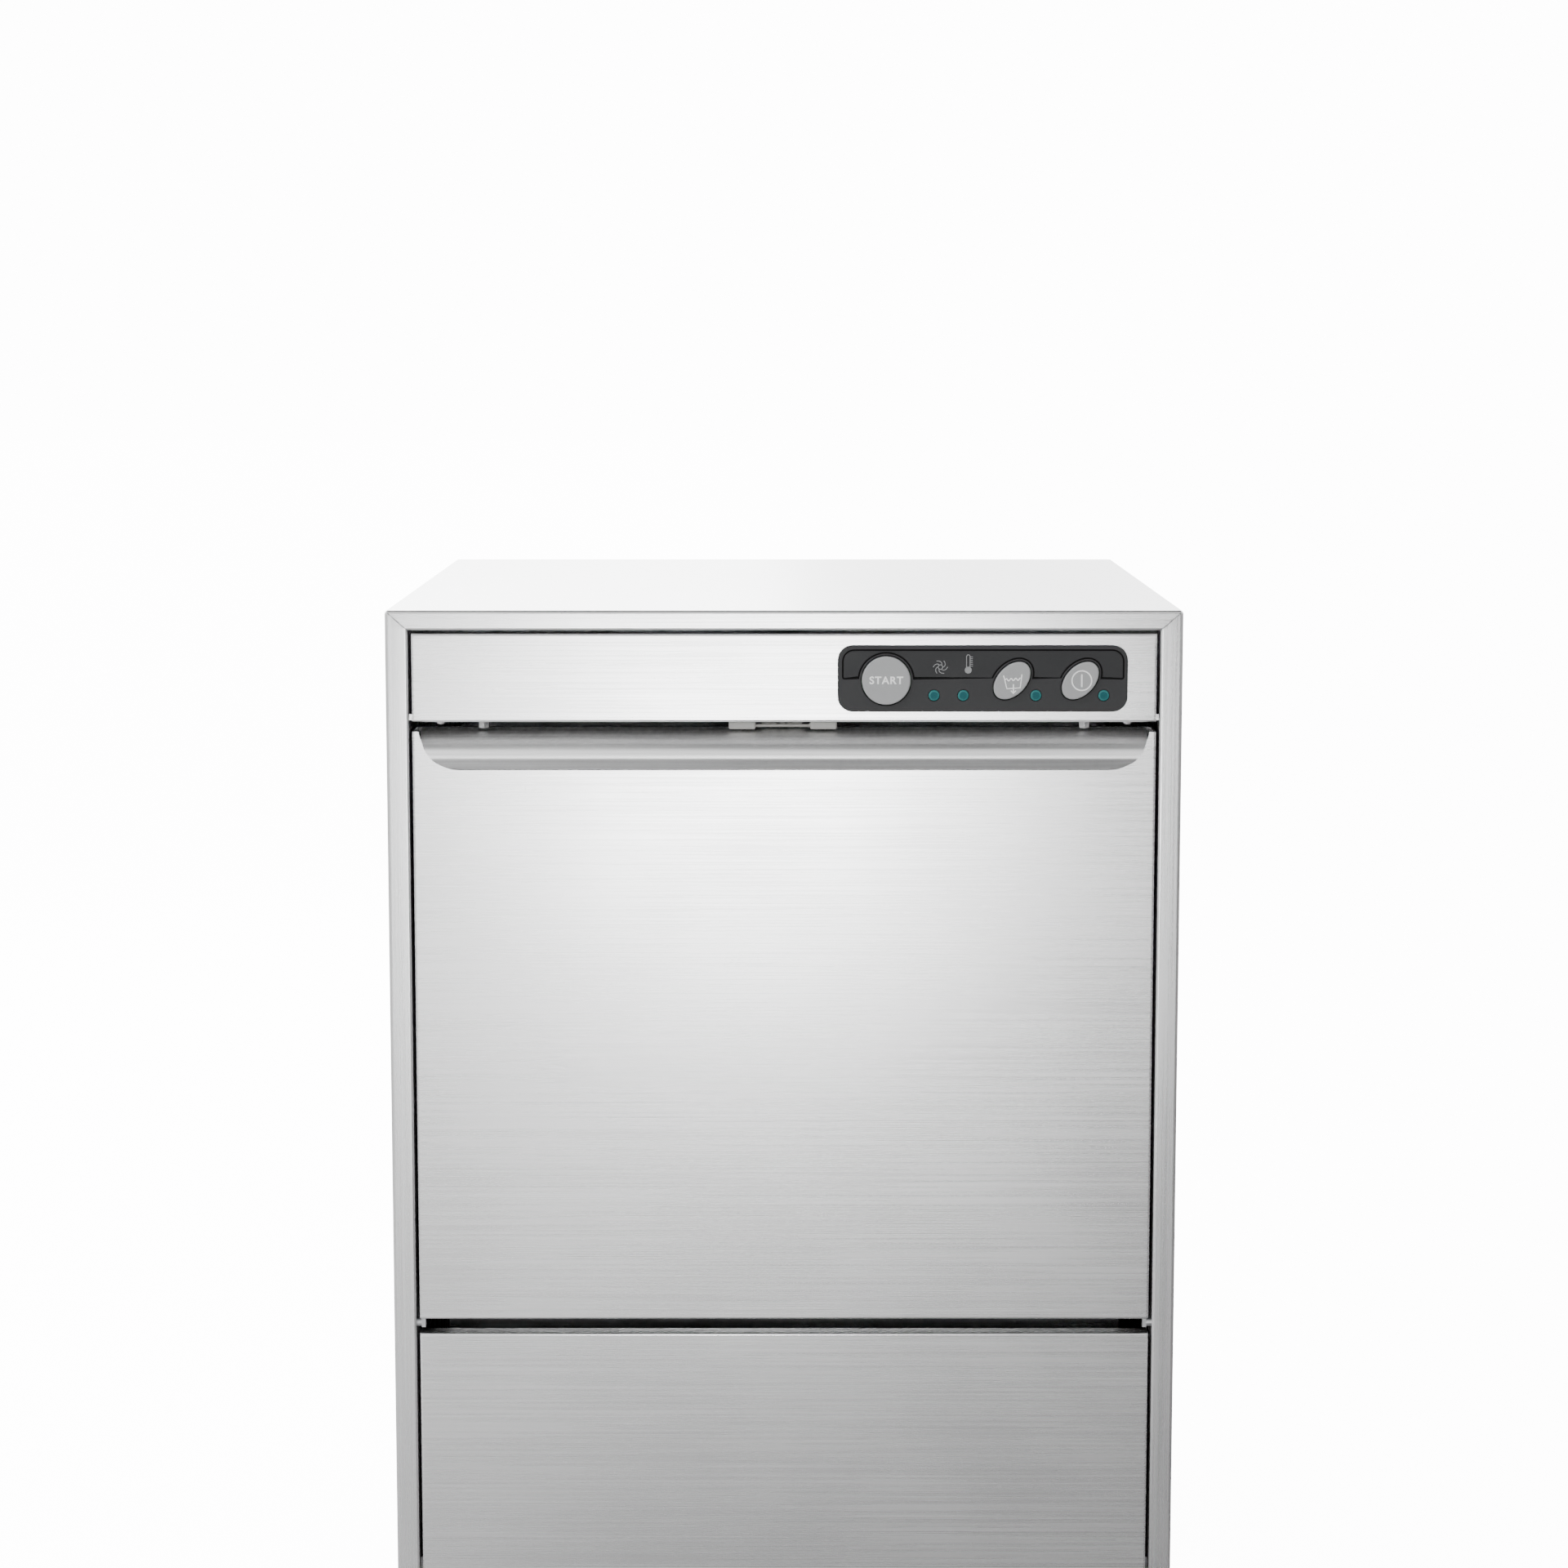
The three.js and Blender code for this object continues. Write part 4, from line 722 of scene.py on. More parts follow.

# ---- Lamps ----
# Teal lenses in the insert, with a rounded rim and a darker pupil where the diode sits behind the plastic.
for lamp_name, (centre, radius) in zip(lamp_names, lamp_spots):
    lens_plastic, tree, shader, place = bare_material(lamp_name + "_lens", gloss=0.2)
    mapping = node(tree, "ShaderNodeMapping", {"Location": (-centre.x, 0, -centre.z), "Scale": (1, 0, 1)})
    wire(tree, place, mapping.inputs["Vector"])
    reach = node(tree, "ShaderNodeVectorMath", operation="LENGTH")
    wire(tree, mapping.outputs[0], reach.inputs[0])
    mottle = noise(tree, place, 900)
    fade = sum_of(tree, spread(tree, reach.outputs["Value"], radius * 0.55, radius * 0.95, 0, 1),
                  spread(tree, mottle, 0.3, 0.7, -0.12, 0.12))
    paint(tree, shader, (0.0, 0.075, 0.085), (0.04, 0.2, 0.2), fade)
    wire(tree, spread(tree, mottle, 0.3, 0.7, 0.4, 0.5), shader.inputs["Roughness"])
    low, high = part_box(lamp_name)
    mesh = round_bar(centre, radius, radius, 0, low.y, high.y, 1.1 * MM, 40)
    make_piece(lamp_name.replace("light", "lamp"), mesh, lens_plastic, "cabinet", "teal_lens", lamp_name)

# ---- Door skin ----
# One stainless sheet: a flat face, three sides folded back, and an opening at the top whose lower
# edge sweeps up to the corners, where the handle lip is let in.
handle_low, handle_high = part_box("door_handle")
skin_low, skin_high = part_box("door_outer_skin")
HANDLE_GAP = 0.35 * MM


def handle_edge(grow, steps=20):
    """Half of the handle's outline seen from the front, from its middle to its upper right end."""
    low_z = handle_low.z - grow
    end = handle_high.x + grow
    flat = skin_high.x - 35 * MM
    spots = [Vector((flat, low_z)), Vector((flat + 16 * MM, low_z)), Vector((end - 4 * MM, low_z + 13 * MM)),
             Vector((end, skin_high.z + 4 * MM))]
    return [Vector(p[:2]) for p in interpolate_bezier(*[s.to_3d() for s in spots], steps)]


edge = [p for p in handle_edge(HANDLE_GAP) if p.y < skin_high.z]
edge.append(Vector((edge[-1].x + 0.1 * MM, skin_high.z)))
half = [(skin_high.x, skin_low.z), (skin_high.x, skin_high.z), *[tuple(p) for p in reversed(edge)]]
mesh = bmesh.new()
corners = [mesh.verts.new((x, front, z)) for x, z in [*half, *[(-x, z) for x, z in reversed(half)]]]
face = mesh.faces.new(corners)
bmesh.ops.recalc_face_normals(mesh, faces=mesh.faces)
if face.normal.y > 0:
    face.normal_flip()
sides = edges_where(mesh, lambda a, b: near(a.x, b.x) and near(abs(a.x), skin_high.x)
                    or near(a.z, skin_low.z) and near(b.z, skin_low.z))
folded = bmesh.ops.extrude_edge_only(mesh, edges=sides)
bmesh.ops.translate(mesh, verts=[v for v in folded["geom"] if isinstance(v, bmesh.types.BMVert)],
                    vec=(0, skin_high.y - front, 0))
bmesh.ops.recalc_face_normals(mesh, faces=mesh.faces)
turned = edges_where(mesh, lambda a, b: len([1 for v in (a, b) if near(v.y, front)]) == 2
                     and (near(a.x, b.x) and near(abs(a.x), skin_high.x)
                          or near(a.z, skin_low.z) and near(b.z, skin_low.z)))
turned += edges_where(mesh, lambda a, b: near(a.z, skin_low.z) and near(b.z, skin_low.z)
                      and near(abs(a.x), skin_high.x) and near(a.x, b.x))
bevel_edges(mesh, turned, 1.8 * MM, 5)
thicken(mesh)
make_piece("door_skin", mesh, sheet_across, "door", "steel_panel", "door_outer_skin")

# ---- Door handle ----
# A lip rolled from thicker stainless sheet along the door's top: a coarsely brushed band leans out
# to a rounded crest, and its back falls away under the fascia.
handle_steel = brushed_steel("brushed_lip", (0.93, 0.93, 0.935), 0.42, along=9.0, across=620.0, contrast=0.13,
                             depth=0.04)
# The lip's section: millimetres behind the door's face, and above the lip's lower edge.
LIP = [(0.6, 0), (-8.3, 7.5), (-8.9, 8.2), (-9.3, 9), (-9.4, 9.8), (-9.4, 11.2), (-9.25, 12.6),
       (-8.8, 14), (-8.05, 15.5), (-7, 17), (-5.55, 18.5), (-3.8, 20), (-1.65, 21.5), (0.8, 23),
       (3.5, 24.3), (6.6, 25.5), (10.3, 26.5), (14.6, 27.2), (19.5, 27.8), (24.6, 28.1), (36, 28.1)]
profile = []
for (y0, z0), (y1, z1) in zip(LIP, LIP[1:]):
    steps = max(1, round(math.hypot(y1 - y0, z1 - z0) / 1.2))
    profile += [(y0 + (y1 - y0) * i / steps, z0 + (z1 - z0) * i / steps) for i in range(steps)]
profile.append(LIP[-1])
reach_of = handle_edge(0.0, 120)


def half_width(z):
    """How far the handle reaches to the side at the height z."""
    above = [p for p in reach_of if p.y >= z - 1e-7]
    return above[0].x if above else reach_of[-1].x


mesh = bmesh.new()
rows = [(front + y * MM, handle_low.z + z * MM) for y, z in profile]
first = [mesh.verts.new((x * half_width(rows[0][1]), *rows[0])) for x in (-1, 1)]
row = [mesh.edges.new(first)]
for y, z in rows[1:]:
    drawn = bmesh.ops.extrude_edge_only(mesh, edges=row)["geom"]
    row = [g for g in drawn if isinstance(g, bmesh.types.BMEdge) and all(v in drawn for v in g.verts)]
    for vert in [g for g in drawn if isinstance(g, bmesh.types.BMVert)]:
        side = -1 if vert.co.x < 0 else 1
        vert.co = (side * half_width(z), y, z)
wall_edges = [e for e in mesh.edges if len(e.link_faces) == 1
              and all(v.co.y < front + 0.5 * MM and v.co.z > handle_low.z - 1e-6 for v in e.verts)
              and not near(e.verts[0].co.x, -e.verts[1].co.x, 1e-5)]
walls = bmesh.ops.extrude_edge_only(mesh, edges=wall_edges)["geom"]
for vert in [g for g in walls if isinstance(g, bmesh.types.BMVert)]:
    vert.co.y = front + 0.6 * MM
bmesh.ops.remove_doubles(mesh, verts=mesh.verts, dist=1e-5)
bmesh.ops.dissolve_degenerate(mesh, edges=mesh.edges, dist=1e-6)
bmesh.ops.recalc_face_normals(mesh, faces=mesh.faces)
if sum(f.normal.y * f.calc_area() for f in mesh.faces) > 0:
    bmesh.ops.reverse_faces(mesh, faces=mesh.faces)
bmesh.ops.solidify(mesh, geom=[*mesh.faces], thickness=SHEET * 0.5)
make_piece("door_lip", mesh, handle_steel, "door", "steel_panel", "door_handle", sharp=28)

# ---- Crossbar, catch and screws over the door ----
# In the slot under the fascia: the galvanised crossbar, the catch's two pale plastic blocks on their
# rod, two dome screws that hold the fascia's fold and two flanged hex screws up through the bar.


def zinc_sheet(name, colour, rough):
    """Hot-dip galvanised sheet: crystals of slightly different tone and gloss."""
    made, tree, shader, place = bare_material(name, metal=0.95)
    crystals = node(tree, "ShaderNodeTexVoronoi", {"Scale": 130, "Randomness": 1.0})
    skin = node(tree, "ShaderNodeGroup", node_tree=skin_group)
    skin.inputs["Clouds"].default_value = 14
    for target in (crystals, skin):
        wire(tree, place, target.inputs["Vector"])
    split = node(tree, "ShaderNodeSeparateColor")
    wire(tree, crystals.outputs["Color"], split.inputs[0])
    paint(tree, shader, [c * 0.86 for c in colour], [c * 1.1 for c in colour],
          sum_of(tree, spread(tree, split.outputs[0], 0, 1, 0, 0.6),
                 spread(tree, skin.outputs["Soft"], 0.3, 0.7, 0, 0.4)))
    wire(tree, spread(tree, split.outputs[1], 0, 1, rough - 0.07, rough + 0.08), shader.inputs["Roughness"])
    relief(tree, shader, skin.outputs["Fine"], 0.08, 0.0003)
    return made


def dress(material, *names):
    """Gives CAD nodes that keep their shape a finished material."""
    for name in names:
        for slot in nodes[name].material_slots:
            slot.material = material


zinc = zinc_sheet("zinc_sheet", (0.50, 0.51, 0.52), 0.42)
# Painted light: the crossbar gets a lighter, rougher copy of the zinc, so that it reads brighter down in the
# shaded slot under the fascia.
zinc_painted_light = zinc_sheet("zinc_painted_light", (0.74, 0.745, 0.75), 0.55)
pale_plastic = moulded("pale_plastic", (0.46, 0.46, 0.44), 0.45, depth=0.06)
black_plastic = moulded("black_plastic", (0.022, 0.022, 0.024), 0.5, depth=0.1)
dress(zinc, "hinge_bracket_left", "hinge_bracket_right")
dress(zinc_painted_light, "front_crossbar")
dress(pale_plastic, "catch_holder")
dress(black_plastic, "door_switch")


def block_mesh(low, high, soften, segments=4):
    mesh = box_mesh(low, high)
    bevel_edges(mesh, mesh.edges[:], soften, segments)
    return mesh


def join_meshes(*parts):
    whole = bmesh.new()
    for part in parts:
        data = bpy.data.meshes.new("part")
        part.to_mesh(data)
        part.free()
        whole.from_mesh(data)
    return whole


def turned_mesh(outline, sides=32):
    """A body turned about Z from (radius, height) points in millimetres that start and end on the axis."""
    mesh = bmesh.new()
    spots = [mesh.verts.new((r * MM, 0, z * MM)) for r, z in outline]
    for a, b in zip(spots, spots[1:]):
        mesh.edges.new((a, b))
    bmesh.ops.spin(mesh, geom=[*mesh.verts, *mesh.edges], cent=(0, 0, 0), axis=(0, 0, 1),
                   angle=2 * math.pi, steps=sides, use_merge=True)
    bmesh.ops.remove_doubles(mesh, verts=mesh.verts, dist=1e-6)
    bmesh.ops.recalc_face_normals(mesh, faces=mesh.faces)
    return mesh


def moved(mesh, place, turn=None):
    bmesh.ops.transform(mesh, matrix=Matrix.Translation(place) @ (turn or Matrix()), verts=mesh.verts)
    return mesh


catch_low, catch_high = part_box("catch_slider")
BLOCK_LENGTH = 20.4 * MM
rod_y, rod_z = (catch_low.y + catch_high.y) / 2, catch_high.z - 3.6 * MM
blocks = [block_mesh((x, catch_low.y, catch_low.z), (x + BLOCK_LENGTH, catch_high.y, catch_high.z), 1.6 * MM)
          for x in (catch_low.x, catch_high.x - BLOCK_LENGTH)]
rod = bmesh.new()
bmesh.ops.create_cone(rod, cap_ends=True, segments=20, radius1=1.2 * MM, radius2=1.2 * MM,
                      depth=catch_high.x - catch_low.x - 1.5 * BLOCK_LENGTH)
moved(rod, ((catch_low.x + catch_high.x) / 2, rod_y, rod_z), Matrix.Rotation(math.radians(90), 4, "Y"))
make_piece("catch_bar", join_meshes(*blocks, rod), pale_plastic, "catch", "light_plastic", "catch_slider")

screw_steel = moulded("screw_steel", (0.5, 0.5, 0.505), 0.24, metal=1.0, depth=0.05)
bar_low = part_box("front_crossbar")[0]
for side, name in ((-1, "left"), (1, "right")):
    dome = turned_mesh([(0, -2.7), (1.6, -2.45), (3.0, -1.6), (3.9, -0.5), (4.0, 0), (3.4, 0), (0, 0)], 28)
    moved(dome, (side * 259 * MM, front + 7 * MM, fascia_low.z - 0.02 * MM))
    make_piece("dome_screw_" + name, dome, screw_steel, "cabinet", "galvanised")
    flange = turned_mesh([(0, -1.6), (4.6, -1.6), (5.3, -1.1), (5.5, -0.6), (5.4, 0), (0, 0)], 32)
    head = bmesh.new()
    bmesh.ops.create_cone(head, cap_ends=True, segments=6, radius1=4.4 * MM, radius2=4.6 * MM, depth=5.2 * MM)
    bevel_edges(head, head.edges[:], 0.35 * MM, 3)
    moved(head, (0, 0, -4.0 * MM))
    cup = turned_mesh([(0, -6.9), (2.4, -6.9), (2.9, -7.15), (3.3, -6.6), (0, -6.4)], 24)
    bolt = moved(join_meshes(flange, head, cup), (side * 227.5 * MM, front + 20 * MM, bar_low.z - 0.02 * MM))
    make_piece("hex_screw_" + name, bolt, screw_steel, "cabinet", "galvanised")

# ---- Door inside: hinge arms, inner panel and gasket ----
# The inner panel is pressed from thin polished sheet with a shallow dish; the black rubber gasket
# runs round the chamber's mouth; the hinge arms are galvanised plate on steel pins.
tub_steel = brushed_steel("satin_tub_steel", (0.78, 0.785, 0.79), 0.24, along=40, across=900, contrast=0.03,
                          depth=0.03)
rubber = moulded("black_rubber", (0.02, 0.02, 0.021), 0.62, depth=0.12, clouds=60)
dress(zinc, "hinge_arm_left", "hinge_arm_right")


def loop_edges(mesh, x0, x1, a0, a1, radius, level, axis="Y"):
    """One rounded rectangle of edges, 36 corners, across Y or Z."""
    spots = [mesh.verts.new((p.x, level, p.y) if axis == "Y" else (p.x, p.y, level))
             for p in rounded_outline(x0, x1, a0, a1, radius)]
    return [mesh.edges.new((a, b)) for a, b in zip(spots, [*spots[1:], spots[0]])]


def pressed(levels, axis="Y", fill=True, ring=False):
    """A pressed shell through rounded rectangles given as (x0, x1, a0, a1, radius, level)."""
    mesh = bmesh.new()
    for near_level, far_level in zip(levels, [*levels[1:], *(levels[:1] if ring else ())]):
        pair = [*loop_edges(mesh, *near_level, axis), *loop_edges(mesh, *far_level, axis)]
        bmesh.ops.bridge_loops(mesh, edges=pair)
    if fill:
        bmesh.ops.contextual_create(mesh, geom=loop_edges(mesh, *levels[-1], axis))
    bmesh.ops.remove_doubles(mesh, verts=mesh.verts, dist=1e-6)
    bmesh.ops.recalc_face_normals(mesh, faces=mesh.faces)
    return mesh


def grown(box, amount, radius, level):
    x0, x1, z0, z1 = box
    return (x0 - amount, x1 + amount, z0 - amount, z1 + amount, radius, level)


def solid_wall(mesh, thickness, seen_from):
    """Gives the shell a wall on the side away from the point it is seen from."""
    face = max(mesh.faces, key=lambda f: f.calc_area())
    if face.normal.dot(Vector(seen_from) - face.calc_center_median()) < 0:
        bmesh.ops.reverse_faces(mesh, faces=mesh.faces)
    bmesh.ops.solidify(mesh, geom=[*mesh.faces], thickness=thickness)
    return mesh


low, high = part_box("door_inner_panel")
face_box = (low.x, high.x, low.z, high.z)
back = high.y
mesh = pressed([grown(face_box, amount * MM, radius * MM, back - sunk * MM) for amount, radius, sunk in
                ((-0.2, 2, 1), (0, 2.2, 0.3), (-0.4, 2, 0), (-58, 26, 0), (-60, 24, 0.5), (-62, 22, 2),
                 (-63.5, 20.5, 4), (-65, 19, 4.8), (-67, 17, 5))])
make_piece("door_liner", solid_wall(mesh, 0.9 * MM, (0, 1, 0.5)), tub_steel, "door", "tub_steel",
           "door_inner_panel")

low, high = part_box("door_gasket")
seal_box = (low.x, high.x, low.z, high.z)
mesh = pressed([grown(seal_box, -inset * MM, (10 - inset * 0.6) * MM, low.y + rise * MM) for inset, rise in
                ((0.4, 0.2), (0, 1.2), (0, 4.2), (0.8, 5.9), (2.4, 6.6), (3.8, 6.1), (4.4, 5.2), (5.0, 6.1),
                 (6.4, 6.5), (7.5, 5.6), (7.9, 4.0), (8, 1.0), (7.6, 0.2))], fill=False, ring=True)
make_piece("door_seal", mesh, rubber, "cabinet", "black_rubber", "door_gasket")

# ---- Wash chamber: tub, sump and strainer ----
# Satin stainless sheet, pressed and welded with generous corners. A perforated strainer lies over
# the sump in the floor, and the spray arms turn on posts that pass through it.
tub_low, tub_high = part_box("wash_tub")
sump_low, sump_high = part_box("sump_tank")
TUB_SHEET = 1.5 * MM
mouth = (-258 * MM, 258 * MM, 292 * MM, tub_high.z - 16 * MM)
flange = (tub_low.x, tub_high.x, 270.7 * MM, tub_high.z)
chamber = (-260.5 * MM, 260.5 * MM, tub_low.z + TUB_SHEET, tub_high.z - 6 * MM - TUB_SHEET)
face_y = tub_low.y + TUB_SHEET
rear = tub_high.y - TUB_SHEET
mesh = pressed([grown(flange, -0.2 * MM, 5 * MM, face_y), grown(mouth, 2 * MM, 16 * MM, face_y),
                grown(mouth, 0.6 * MM, 15 * MM, face_y + 0.5 * MM), grown(mouth, 0, 14 * MM, face_y + 2 * MM),
                grown(mouth, 0, 14 * MM, face_y + 5 * MM), grown(chamber, 0, 18 * MM, face_y + 5.4 * MM),
                grown(chamber, 0, 18 * MM, rear - 14 * MM), grown(chamber, -1.6 * MM, 17 * MM, rear - 7 * MM),
                grown(chamber, -6 * MM, 13 * MM, rear - 2 * MM), grown(chamber, -13 * MM, 8 * MM, rear)])
well = (sump_low.x + 12 * MM, sump_high.x - 12 * MM, sump_low.y + 12 * MM, sump_high.y - 12 * MM)
for x in well[:2]:
    slice_mesh(mesh, (x, 0, 0), (1, 0, 0))
for y in well[2:]:
    slice_mesh(mesh, (0, y, 0), (0, 1, 0))
bmesh.ops.delete(mesh, geom=faces_where(mesh, lambda c, n: well[0] < c.x < well[1] and well[2] < c.y < well[3]
                                        and c.z < tub_low.z + 10 * MM), context="FACES")
make_piece("tub_liner", solid_wall(mesh, TUB_SHEET, (0, 0, 0.5)), tub_steel, "cabinet", "tub_steel",
           "wash_tub")

sump = (sump_low.x + SHEET, sump_high.x - SHEET, sump_low.y + SHEET, sump_high.y - SHEET)
mesh = pressed([grown(sump, amount * MM, radius * MM, level) for amount, radius, level in
                ((0, 12, sump_high.z - 0.2 * MM), (0, 12, sump_high.z - 40 * MM),
                 (-12, 22, sump_low.z + 14 * MM), (-16, 20, sump_low.z + 5 * MM),
                 (-26, 14, sump_low.z + 1.4 * MM))], axis="Z")
make_piece("sump_bowl", solid_wall(mesh, SHEET, (0, 0, 0.5)), tub_steel, "cabinet", "tub_steel", "sump_tank")

low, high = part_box("tank_filter")
post_low, post_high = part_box("lower_arm_post")
axis_x, axis_y = (post_low.x + post_high.x) / 2, (post_low.y + post_high.y) / 2
POST_WAY = 17 * MM
HOLES = 34
mesh = bmesh.new()
bmesh.ops.create_grid(mesh, x_segments=HOLES, y_segments=HOLES, size=0.5,
                      matrix=Matrix.Translation(((low.x + high.x) / 2, (low.y + high.y) / 2, high.z))
                      @ Matrix.Diagonal((high.x - low.x, high.y - low.y, 1, 1)))
bmesh.ops.delete(mesh, geom=faces_where(mesh, lambda c, n: math.hypot(c.x - axis_x, c.y - axis_y) < POST_WAY),
                 context="FACES")
cells = faces_where(mesh, lambda c, n: low.x + 12 * MM < c.x < high.x - 12 * MM
                    and low.y + 12 * MM < c.y < high.y - 12 * MM)
bmesh.ops.inset_individual(mesh, faces=cells, thickness=2.2 * MM)
bmesh.ops.delete(mesh, geom=cells, context="FACES")
solid_wall(mesh, high.z - low.z, (0, 0, 1))
make_piece("strainer", mesh, tub_steel, "cabinet", "tub_steel", "tank_filter")

# ---- Spray arms, posts and caps ----
# Two wash arms and two rinse arms, flattened from stainless tube: slotted nozzles point into the
# rack, and a knurled blue cap holds each pair on its post.
dress(tub_steel, "lower_arm_post", "upper_arm_post", "rack_guide_left", "rack_guide_right")
# Painted shade: each nozzle slot is a near-black box set into the nozzle, standing for the shade inside an
# opening.
slot_shade_paint = moulded("painted_shade_slot", (0.02, 0.02, 0.02), 0.5)


def level_plate(loops, z0, z1, soften):
    """A flat plate that lies level, between two heights."""
    data = plate_data(loops, -(z1 - z0) / 2, (z1 - z0) / 2, soften)
    data.transform(Matrix.Translation((0, 0, (z0 + z1) / 2)) @ Matrix.Rotation(math.radians(-90), 4, "X"))
    return data


def blade_outline(reach, root, tip, swing):
    """A blade with two tapering wings and round ends, turned by the angle swing."""
    turn = Matrix.Rotation(swing, 2)
    spots = []
    for side in (0, 180):
        half = Matrix.Rotation(math.radians(side), 2)
        spots += [half @ Vector((0.12 * reach, -root / 2))]
        spots += [half @ Vector((reach - tip / 2 + tip / 2 * math.cos(t), tip / 2 * math.sin(t)))
                  for t in (math.radians(-80 + 16 * i) for i in range(11))]
        spots += [half @ Vector((0.12 * reach, root / 2))]
    return [Vector((axis_x, axis_y)) + turn @ p for p in spots]


def spray_arm(name, root, tip, swing, up, slots):
    """An arm on its post: blade, hub, and a row of nozzles on the side that faces the rack."""
    low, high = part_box(name)
    swing = math.radians(swing)
    reach = max(high.x - axis_x, (high.y - axis_y)) / max(math.cos(swing), math.sin(swing)) - 1 * MM
    bore = [Vector((axis_x + 12.4 * MM * math.cos(t), axis_y + 12.4 * MM * math.sin(t)))
            for t in (2 * math.pi * i / 48 for i in range(48))]
    hub = [Vector((axis_x, axis_y)) + (p - Vector((axis_x, axis_y))) * 2.0 for p in bore]
    mesh = bmesh.new()
    mesh.from_mesh(level_plate([blade_outline(reach, root * MM, tip * MM, swing), bore], low.z + 0.6 * MM,
                               high.z - 0.6 * MM, min(3.2, tip / 5) * MM))
    mesh.from_mesh(level_plate([hub, bore], low.z, high.z, 0.8 * MM))
    top = high.z - 0.6 * MM if up else low.z + 0.6 * MM
    for i in range(slots):
        for side in (-1, 1):
            out = side * (0.24 + 0.68 * i / (slots - 1)) * reach
            place = Matrix.Translation((axis_x, axis_y, 0)) @ Matrix.Rotation(swing, 4, "Z") \
                @ Matrix.Translation((out, 0, top)) @ Matrix.Rotation(math.radians(25 * side), 4, "Z")
            bmesh.ops.create_cone(mesh, cap_ends=True, segments=20, radius1=(4.2 if up else 3.4) * MM,
                                  radius2=(3.4 if up else 4.2) * MM, depth=1.1 * MM, matrix=place)
            # The slot is a dark box, not a hole: painted shade.
            slot = box_mesh((-2.6 * MM, -0.5 * MM, -0.62 * MM), (2.6 * MM, 0.5 * MM, 0.62 * MM))
            moved(slot, (0, 0, 0), place)
            data = bpy.data.meshes.new("slot")
            slot.to_mesh(data)
            slot.free()
            print_on(mesh, data)
    bmesh.ops.remove_doubles(mesh, verts=mesh.verts, dist=1e-6)
    arm = make_piece(name.replace("_arm", "_blade"), mesh, tub_steel, name, "tub_steel", name)
    arm.data.materials.append(slot_shade_paint)


spray_arm("lower_wash_arm", 46, 30, 20, True, 6)
spray_arm("lower_rinse_arm", 24, 14, 65, True, 8)
spray_arm("upper_wash_arm", 46, 30, 20, False, 6)
spray_arm("upper_rinse_arm", 24, 14, 65, False, 8)

blue_plastic = moulded("rack_blue", (0.045, 0.155, 0.33), 0.42, contrast=0.07, depth=0.08)
for name in ("lower_arm_cap", "upper_arm_cap"):
    low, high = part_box(name)
    radius = (high.x - low.x) / 2
    rim = [Vector((axis_x + r * math.cos(t), axis_y + r * math.sin(t)))
           for r, t in ((radius - (0, 0.9, 0.9)[i % 3] * MM, 2 * math.pi * i / 90) for i in range(90))]
    small = [Vector((axis_x, axis_y)) + (p - Vector((axis_x, axis_y))) * 0.62 for p in rim[::3]]
    mesh = bmesh.new()
    mesh.from_mesh(level_plate([rim], low.z, high.z - 1 * MM, 0.7 * MM))
    mesh.from_mesh(level_plate([small], low.z + 0.5 * MM, high.z, 0.9 * MM))
    bmesh.ops.remove_doubles(mesh, verts=mesh.verts, dist=1e-6)
    make_piece(name.replace("_cap", "_nut"), mesh, blue_plastic, "cabinet", "blue_plastic", name)

# ---- Dish rack ----
# A 500 mm moulded blue rack: an open lattice for a floor, ladder walls, a thick rim and rows of
# pegs that hold the plates upright.
low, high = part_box("dish_rack")
RACK_WALL = 4 * MM


def lattice(width, height, columns, rows, bar, thickness, place):
    """A flat lattice in x and y, with square openings, given its thickness and put in place."""
    mesh = bmesh.new()
    bmesh.ops.create_grid(mesh, x_segments=columns, y_segments=rows, size=0.5,
                          matrix=Matrix.Diagonal((width, height, 1, 1)))
    cells = mesh.faces[:]
    bmesh.ops.inset_individual(mesh, faces=cells, thickness=bar / 2)
    bmesh.ops.delete(mesh, geom=cells, context="FACES")
    bmesh.ops.solidify(mesh, geom=mesh.faces[:], thickness=thickness)
    bmesh.ops.transform(mesh, matrix=place, verts=mesh.verts)
    return mesh


middle = (low + high) / 2
wide, deep, tall = high - low
parts = [lattice(wide - RACK_WALL, deep - RACK_WALL, 14, 14, 5 * MM, RACK_WALL,
                 Matrix.Translation((middle.x, middle.y, low.z + RACK_WALL)))]
for turn in range(4):
    place = Matrix.Translation((middle.x, middle.y, low.z + tall / 2)) \
        @ Matrix.Rotation(math.pi / 2 * turn, 4, "Z") @ Matrix.Translation((0, -deep / 2, 0)) \
        @ Matrix.Rotation(math.radians(90), 4, "X")
    parts.append(lattice(wide - 0.4 * MM, tall, 14, 3, 6 * MM, RACK_WALL, place))
rim = pressed([grown((low.x, high.x, low.y, high.y), -a * MM, 12 * MM, high.z + z * MM)
               for a, z in ((0, -1.2), (0.8, 0), (6.2, 0), (7, -1.2), (7, -7), (6.2, -8), (0.8, -8),
                            (0, -7))],
              axis="Z", fill=False, ring=True)
parts.append(rim)
PEG = 62 * MM
for row in range(-5, 6):
    for column in range(-6, 7, 2):
        peg = bmesh.new()
        bmesh.ops.create_cone(peg, cap_ends=True, segments=8, radius1=3.2 * MM, radius2=1.8 * MM, depth=PEG)
        parts.append(moved(peg, (middle.x + column * 35 * MM, middle.y + row * 41 * MM,
                                 low.z + PEG / 2 + 3 * MM)))
make_piece("plate_rack", join_meshes(*parts), blue_plastic, "cabinet", "blue_plastic", "dish_rack")

